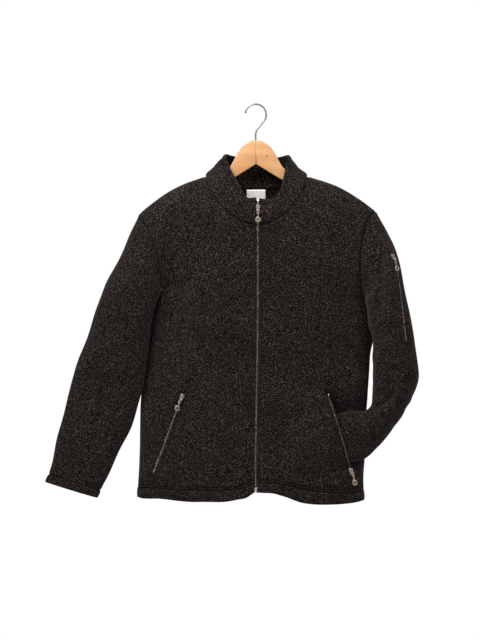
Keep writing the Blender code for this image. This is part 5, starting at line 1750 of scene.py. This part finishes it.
def outline_solid(name, loops, thickness, rounding):
    """A flat solid with rounded edges from outline loops, in its own x and y, centred on z."""
    curve = bpy.data.curves.new(name, "CURVE")
    curve.dimensions = "2D"
    curve.fill_mode = "BOTH"
    curve.extrude = thickness / 2 - rounding
    curve.bevel_depth = rounding
    curve.offset = -rounding
    curve.bevel_resolution = 2
    for loop in loops:
        spline = curve.splines.new("POLY")
        spline.points.add(len(loop) - 1)
        for point, (x, y) in zip(spline.points, loop):
            point.co = (x, y, 0, 1)
        spline.use_cyclic_u = True
    holder = bpy.data.objects.new(name, curve)
    bpy.context.scene.collection.objects.link(holder)
    bpy.context.view_layer.update()
    graph = bpy.context.evaluated_depsgraph_get()
    mesh = bpy.data.meshes.new_from_object(holder.evaluated_get(graph))
    bpy.data.objects.remove(holder)
    shape = bmesh.new()
    shape.from_mesh(mesh)
    bmesh.ops.remove_doubles(shape, verts=shape.verts, dist=NEARLY)
    bmesh.ops.recalc_face_normals(shape, faces=shape.faces)
    shape.to_mesh(mesh)
    shape.free()
    return mesh


def circle(x, y, radius, sides):
    return [(x + radius * math.cos(t), y + radius * math.sin(t)) for t in round_turns(sides)]


def mirrored(table):
    """A closed outline from its right half, listed from the top down in millimetres."""
    right = [(x * MM, y * MM) for x, y in table]
    return right + [(-x, y) for x, y in reversed(right)]


def joined(name, meshes):
    """One mesh of several, each moved by its own matrix."""
    shape = bmesh.new()
    for mesh, move in meshes:
        part = mesh.copy()
        part.transform(move)
        shape.from_mesh(part)
    mesh = bpy.data.meshes.new(name)
    shape.to_mesh(mesh)
    shape.free()
    return mesh


def rod(name, radius, length, rounding):
    """A round rod along x with rounded rims, centred on the origin."""
    stations = [(-length / 2, radius - rounding), (-length / 2 + rounding, radius),
                (length / 2 - rounding, radius), (length / 2, radius - rounding)]
    points = [(x, r * math.cos(t), r * math.sin(t)) for x, r in stations for t in round_turns(ROD_SIDES)]
    return new_mesh(name, points, ring_faces(len(stations), ROD_SIDES))


def rounded_block(name, size, rounding):
    return new_mesh(name, *box_shape(size, rounding))


def slider_form():
    """A slider about its place on the zip: two plates, the bar between them, two ears and the pin."""
    hole_y, hole_radius = SLIDER_HOLE
    loops = [mirrored(SLIDER_OUTLINE), circle(0, hole_y, hole_radius, HOLE_SIDES)]
    plate = outline_solid("slider_plate", loops, SLIDER_PLATE, SLIDER_ROUNDING)
    ear = rounded_block("slider_ear", (EAR_SIZE[0], EAR_SIZE[1], PIN_HEIGHT + PIN_RADIUS), EAR_ROUNDING)
    pin = rod("slider_pin", PIN_RADIUS, 2 * EAR_PLACE + EAR_SIZE[0], PIN_RADIUS / 3)
    bar = rounded_block("slider_bar", BAR_SIZE, EAR_ROUNDING)
    ear_z = (PIN_HEIGHT + PIN_RADIUS) / 2 + EAR_RIM
    return joined("slider", [
        (plate, Matrix.Translation((0, 0, SLIDER_SIZE[2] - SLIDER_PLATE / 2))),
        (plate, Matrix.Translation((0, 0, SLIDER_PLATE / 2 - SLIDER_BELOW))),
        (bar, Matrix.Translation((0, SLIDER_SIZE[1] / 4, SLIDER_SIZE[2] / 2))),
        (ear, Matrix.Translation((EAR_PLACE, -PIN_DOWN, ear_z))),
        (ear, Matrix.Translation((-EAR_PLACE, -PIN_DOWN, ear_z))),
        (pin, Matrix.Translation((0, -PIN_DOWN, PIN_HEIGHT))),
    ])


def pull_form():
    """A pull tab that hangs from its pin: knuckle, neck and ring."""
    reach = TAB_LENGTH - TAB_RING_RADIUS - KNUCKLE_RADIUS
    loops = [circle(0, -reach, TAB_RING_RADIUS, RING_SIDES),
             circle(0, -reach, TAB_HOLE_RADIUS, RING_HOLE_SIDES)]
    ring = outline_solid("pull_ring", loops, TAB_THICKNESS, TAB_ROUNDING)
    neck = outline_solid("pull_neck", [mirrored([(x, y * reach / MM) for x, y in TAB_NECK])],
                         TAB_THICKNESS, TAB_ROUNDING)
    knuckle = rod("pull_knuckle", KNUCKLE_RADIUS, KNUCKLE_LENGTH, KNUCKLE_RADIUS / 3)
    still = Matrix.Identity(4)
    return joined("pull", [(ring, still), (neck, still), (knuckle, still)])


def make_hardware(coarse_surfaces):
    slider = slider_form()
    pull = pull_form()
    for name, (place, normal, run) in zip_places(coarse_surfaces).items():
        normal = unit(np.asarray(normal))
        turned = hanging_frame(place + normal * SLIDER_LIFT[name] * MM, normal, run)
        turned = turned @ Matrix.Rotation(-math.radians(SLIDER_LEAN[name]), 4, "X")
        body = slider.copy()
        body.transform(turned)
        link("slider_%s_form" % name, body, MATERIALS["copper"],
             replaces=("slider_" + name,))
        tab = pull.copy()
        tab.transform(turned @ Matrix.Translation((0, -PIN_DOWN, PIN_HEIGHT)))
        link("pull_%s_form" % name, tab, MATERIALS["copper"], body="pull_%s_tab" % name,
             replaces=("pull_" + name,))


def make_stops(line, out, pocket_line, pocket_out):
    """Top stops on the front zip and the open pocket, and the box at the front zip's foot, all in a much
    brighter copper that paints in their glint.
    """
    stem = rounded_block("stop", STOP_SIZE, TOOTH_ROUNDING)
    foot = rounded_block("foot", FOOT_SIZE, TOOTH_ROUNDING)
    rows = [("zip_stop_left", stem, line, out, STOP_AT, STOP_ASIDE),
            ("zip_stop_right", stem, line, out, STOP_AT, -STOP_ASIDE),
            ("pocket_stop", stem, pocket_line, pocket_out, POCKET_STOP_AT, 0.0),
            ("zip_foot", foot, line, out, FOOT_AT, 0.0)]
    for name, mesh, route, directions, at, aside in rows:
        run = distances(route)
        at = at if at > 0 else run[-1] + at
        place = between(route, run, at)
        normal = unit(between(directions, run, at))
        down = Vector((0, 0, -1))
        across = down.cross(Vector(normal)).normalized()
        turn = Matrix((across, -down, Vector(normal))).transposed().to_4x4()
        turn.translation = Vector(place + normal * TOOTH_RISE) + across * aside
        part = mesh.copy()
        part.transform(turn)
        link(name, part, MATERIALS["stop"])


# Label, hanger and hook

def make_label(coarse):
    points, normals = coarse[:2]
    back = whole_back(points["right", "back"], points["left", "back"])
    own = whole_back(normals["right", "back"], normals["left", "back"])
    middle = len(column_shares()) - 1
    seam = back[0, middle]
    columns = np.linspace(-LABEL_WIDTH / 2, LABEL_WIDTH / 2, LABEL_CELLS + 1)
    heights = np.linspace(seam[2] - LABEL_TOP, seam[2] - LABEL_DROP - LABEL_HEIGHT, LABEL_CELLS + 1)
    line = back[:, middle][::-1]
    line_normals = own[:, middle][::-1]
    y = np.interp(heights, line[:, 2], line[:, 1])
    tilt = unit(between(line_normals, line[:, 2], heights))
    grid = np.array([[(x, y[i], heights[i]) for x in columns] for i in range(len(heights))])
    directions = np.repeat(tilt[:, None], len(columns), axis=1)
    share = np.abs(columns) / (LABEL_WIDTH / 2)
    curl = LABEL_CURL * share[None]**2 * np.linspace(0, 1, LABEL_CELLS + 1)[:, None]
    grid = grid - directions * (CLOTH + LABEL_SLACK + curl)[..., None]
    mesh = wall_mesh("woven_label", grid, grid - directions * LABEL_THICKNESS)
    item = link("woven_label", mesh, MATERIALS["label"], replaces=("label",))
    declare(grid)


def make_hanger():
    for side in ("right", "left"):
        mesh = outline_solid("arm", [arm_outline(side)], ARM_THICKNESS, ARM_EDGE * ARM_ROUND_SHARE)
        mesh.transform(Matrix.Rotation(math.pi / 2, 4, "X"))
        mesh.transform(Matrix.Translation((ARM_CLOSING if side == "right" else -ARM_CLOSING, 0, 0)))
        link("wood_arm_" + side, mesh, MATERIALS["pine"], replaces=("hanger_arm_" + side,))
    x0, z0 = HOOK_CENTRE
    turns = np.radians(np.linspace(*HOOK_TURNS, HOOK_TURN_STEPS))
    loop = [(x0 + HOOK_RADIUS * math.cos(a), z0 + HOOK_RADIUS * math.sin(a)) for a in turns]
    bend = [(x * MM, z * MM) for x, z in HOOK_BEND]
    route = np.array([(x, 0, z) for x, z in loop + bend])
    run = distances(route)
    fine = hermite(run, route, np.linspace(0, run[-1], HOOK_STEPS))
    mesh = tube("wire_hook", fine, WIRE, HOOK_SIDES)
    link("wire_hook", mesh, MATERIALS["steel"], replaces=("hook",))


# Finishes

class Nodes:
    """Short ways to write a material's nodes."""

    def __init__(self, name):
        self.material = bpy.data.materials.new(name)
        self.material.use_nodes = True
        self.tree = self.material.node_tree
        self.shader = self.tree.nodes["Principled BSDF"]
        self.place = self.add("ShaderNodeTexCoord").outputs["Object"]

    def add(self, kind, inputs=(), **settings):
        node = self.tree.nodes.new(kind)
        for name, value in settings.items():
            setattr(node, name, value)
        for name, value in dict(inputs).items():
            if isinstance(value, bpy.types.NodeSocket):
                self.tree.links.new(value, node.inputs[name])
            else:
                node.inputs[name].default_value = value
        return node

    def noise(self, pattern, place=None):
        scale, detail, roughness = pattern
        values = {"Vector": place or self.place, "Scale": scale, "Detail": detail, "Roughness": roughness}
        return self.add("ShaderNodeTexNoise", values).outputs["Fac"]

    def ramp(self, value, stops):
        node = self.add("ShaderNodeValToRGB", {"Fac": value})
        elements = node.color_ramp.elements
        while len(elements) < len(stops):
            elements.new(1.0)
        for element, (place, colour) in zip(elements, stops):
            element.position = place
            element.color = (*colour, 1.0) if hasattr(colour, "__len__") else (colour, colour, colour, 1.0)
        return node.outputs["Color"]

    def mix(self, share, first, second, blend="MIX"):
        node = self.tree.nodes.new("ShaderNodeMix")
        node.data_type = "RGBA"
        node.blend_type = blend
        for index, value in ((MIX_SHARE, share), (MIX_FIRST, first), (MIX_SECOND, second)):
            self.give(node.inputs[index], value)
        return node.outputs[MIX_RESULT]

    def over(self, colour, tone):
        """A colour with a tone multiplied over it."""
        return self.mix(1.0, colour, tone, "MULTIPLY")

    def bump(self, height, relief, normal=None):
        distance, strength = relief
        values = {"Height": height, "Distance": distance, "Strength": strength}
        if normal is not None:
            values["Normal"] = normal
        return self.add("ShaderNodeBump", values).outputs["Normal"]

    def stretched(self, scale):
        return self.add("ShaderNodeMapping", {"Vector": self.place, "Scale": scale}).outputs["Vector"]

    def finish(self, **sockets):
        for name, value in sockets.items():
            self.give(self.shader.inputs[name.replace("_", " ")], value)
        return self.material

    def give(self, socket, value):
        """Links a socket to another, or sets it to a number or a colour."""
        if isinstance(value, bpy.types.NodeSocket):
            self.tree.links.new(value, socket)
        else:
            socket.default_value = (*value, 1.0) if hasattr(value, "__len__") else value


def wool_finish():
    """Boiled wool: dark heather flecks over a fuzzy, matt surface, with painted shade in its sewn grooves.
    """
    n = Nodes("boiled wool")
    flecks = n.noise(FLECKS)
    hairs = n.noise(HAIRS)
    colour = n.over(n.ramp(flecks, WOOL_TONES), n.ramp(hairs, HAIR_TONES))
    colour = n.over(colour, n.ramp(n.noise(TINT), TINT_TONES))
    colour = n.over(colour, n.ramp(n.noise(CLOUDS), CLOUD_TONES))
    # Painted shade: the wool is darkened in its sewn grooves, by how deep they are
    pressed_and_groove_shade = n.add("ShaderNodeAttribute", attribute_name="pressed_and_groove_shade").outputs["Fac"]
    colour = n.mix(pressed_and_groove_shade, colour, n.over(colour, GROOVE_SHADE_TONE))
    normal = n.bump(hairs, HAIR_RELIEF, n.bump(flecks, FLECK_RELIEF))
    return n.finish(Base_Color=colour, Normal=normal, **WOOL_SURFACE)


def yarn_tones(colour, darker, marks):
    """Tones of a weave: its colour and a darker share of it."""
    return list(zip(marks, (tuple(darker * c for c in colour), colour)))


def tape_finish():
    n = Nodes("zip tape")
    values = {"Vector": n.place, "Scale": TAPE_WEAVE_SCALE, "Distortion": TAPE_WEAVE_BEND}
    weave = n.add("ShaderNodeTexWave", values, bands_direction="DIAGONAL").outputs["Fac"]
    tone = n.ramp(weave, yarn_tones(TAPE_COLOUR, TAPE_DARKER, TAPE_PLACES))
    return n.finish(Base_Color=tone, Normal=n.bump(weave, TAPE_RELIEF), **TAPE_SURFACE)


def label_finish():
    n = Nodes("label cloth")
    weave = n.noise(LABEL_WEAVE, n.stretched(LABEL_STRETCH))
    tone = n.ramp(weave, yarn_tones(LABEL_WHITE, LABEL_DARKER, LABEL_PLACES))
    return n.finish(Base_Color=tone, Roughness=LABEL_ROUGHNESS, Normal=n.bump(weave, LABEL_RELIEF))


def copper_finish(name, bright, dark):
    """Antique copper: worn bright places over a brown patina."""
    n = Nodes(name)
    patina = n.noise(PATINA)
    colour = n.ramp(patina, list(zip(METAL_PLACES, (dark, bright))))
    return n.finish(Base_Color=colour, Metallic=1.0, Roughness=n.ramp(patina, WORN_ROUGHNESS),
                    Normal=n.bump(n.noise(METAL_GRAIN), METAL_RELIEF))


def plain_finish(name, colour, surface):
    return Nodes(name).finish(Base_Color=colour, **surface)


def pine_finish():
    """Planed pine with grain along the arms and a small knot."""
    n = Nodes("pine")
    grain = n.noise(WOOD_GRAIN, n.stretched(GRAIN_STRETCH))
    rings = n.noise(WOOD_RINGS, n.stretched(WOOD_RING_STRETCH))
    colour = n.over(n.ramp(rings, WOOD_TONES), n.ramp(grain, GRAIN_TONES))
    moved = n.add("ShaderNodeVectorMath", {0: n.place, 1: KNOT_PLACE}, operation="SUBTRACT").outputs[0]
    away = n.add("ShaderNodeVectorMath", {0: moved}, operation="LENGTH").outputs["Value"]
    scaled = n.add("ShaderNodeMath", {0: away, 1: KNOT_RADIUS}, operation="DIVIDE").outputs[0]
    colour = n.mix(n.ramp(scaled, KNOT_TONES), colour, PINE_KNOT)
    return n.finish(Base_Color=colour, Roughness=PINE_ROUGHNESS, Normal=n.bump(grain, GRAIN_RELIEF))


# Light, floor and camera

def soft_light(name, place, size, power, colour):
    light = bpy.data.lights.new(name, "AREA")
    light.shape = "DISK"
    light.size = size
    light.energy = power
    light.color = colour
    item = bpy.data.objects.new(name, light)
    item.location = place
    item.rotation_euler = (Vector(LIGHT_TARGET) - Vector(place)).to_track_quat("-Z", "Y").to_euler()
    bpy.context.scene.collection.objects.link(item)


def make_world():
    """White behind the jacket for the camera, and a softer white light on it."""
    world = bpy.data.worlds.new("studio")
    bpy.context.scene.world = world
    world.use_nodes = True
    tree = world.node_tree
    tree.nodes.clear()
    rays = tree.nodes.new("ShaderNodeLightPath")
    seen = tree.nodes.new("ShaderNodeBackground")
    seen.inputs["Strength"].default_value = 1.0
    lit = tree.nodes.new("ShaderNodeBackground")
    lit.inputs["Strength"].default_value = SKY_STRENGTH
    for node in (seen, lit):
        node.inputs["Color"].default_value = (1.0, 1.0, 1.0, 1.0)
    mix = tree.nodes.new("ShaderNodeMixShader")
    out = tree.nodes.new("ShaderNodeOutputWorld")
    tree.links.new(rays.outputs["Is Camera Ray"], mix.inputs[0])
    tree.links.new(lit.outputs[0], mix.inputs[1])
    tree.links.new(seen.outputs[0], mix.inputs[2])
    tree.links.new(mix.outputs[0], out.inputs[0])


def make_floor():
    shape = bmesh.new()
    bmesh.ops.create_grid(shape, x_segments=1, y_segments=1, size=FLOOR_SIZE / 2)
    mesh = bpy.data.meshes.new("floor")
    shape.to_mesh(mesh)
    shape.free()
    mesh.materials.append(plain_finish("studio floor", FLOOR_WHITE, {"Roughness": FLOOR_ROUGHNESS}))
    floor = bpy.data.objects.new("floor", mesh)
    floor.location = (0, 0, FLOOR_HEIGHT)
    bpy.context.scene.collection.objects.link(floor)


def make_camera():
    camera = bpy.data.cameras.new("camera")
    camera.sensor_fit = "VERTICAL"
    camera.sensor_height = SENSOR
    camera.lens = SENSOR * CAMERA_DISTANCE / (PHOTO_SIZE[1] * PIXEL)
    item = bpy.data.objects.new("camera", camera)
    x = (PHOTO_SIZE[0] / 2 - PHOTO_ORIGIN[0]) * PIXEL
    z = (PHOTO_ORIGIN[1] - PHOTO_SIZE[1] / 2) * PIXEL
    item.location = (x, -CAMERA_DISTANCE, z)
    item.rotation_euler = (math.pi / 2, 0, 0)
    bpy.context.scene.collection.objects.link(item)
    bpy.context.scene.camera = item
    bpy.context.scene.view_settings.view_transform = "Standard"


def main():
    coarse = garment()
    surfaces = fine_surfaces(coarse)
    lines = {}
    make_fronts(surfaces, lines)
    make_back(surfaces, lines)
    make_sleeves(surfaces, lines)
    make_collar(surfaces)
    make_stitches(lines)
    line, out = make_front_zip(coarse)
    pocket_line, pocket_out = make_pocket_zips(coarse)
    make_sleeve_zip(coarse)
    points, normals, sleeves, collar, collar_normals = coarse
    sides = {side: (points[side, "front"], normals[side, "front"]) for side in ("right", "left")}
    sides["sleeve_left"] = sleeves["left"]
    sides["collar"] = (collar, collar_normals)
    make_hardware(sides)
    make_stops(line, out, pocket_line, pocket_out)
    make_label(coarse)
    make_hanger()
    make_world()
    soft_light("key", KEY_PLACE, KEY_SIZE, KEY_POWER, KEY_COLOUR)
    soft_light("fill", FILL_PLACE, FILL_SIZE, FILL_POWER, FILL_COLOUR)
    make_floor()
    make_camera()


MATERIALS = {
    "wool": wool_finish(),
    "tape": tape_finish(),
    "thread": plain_finish("dark thread", THREAD, THREAD_SURFACE),
    "label": label_finish(),
    "copper": copper_finish("antique copper", COPPER, COPPER_DARK),
    "teeth": copper_finish("copper zip teeth", TEETH_COLOUR, TEETH_DARK),
    # A brighter copy of the copper, with the stops' glint painted in
    "stop": copper_finish("stops with painted glint", STOP_GLINT_COLOUR, COPPER_DARK),
    "steel": plain_finish("plated steel", STEEL, STEEL_SURFACE),
    "pine": pine_finish(),
}
main()
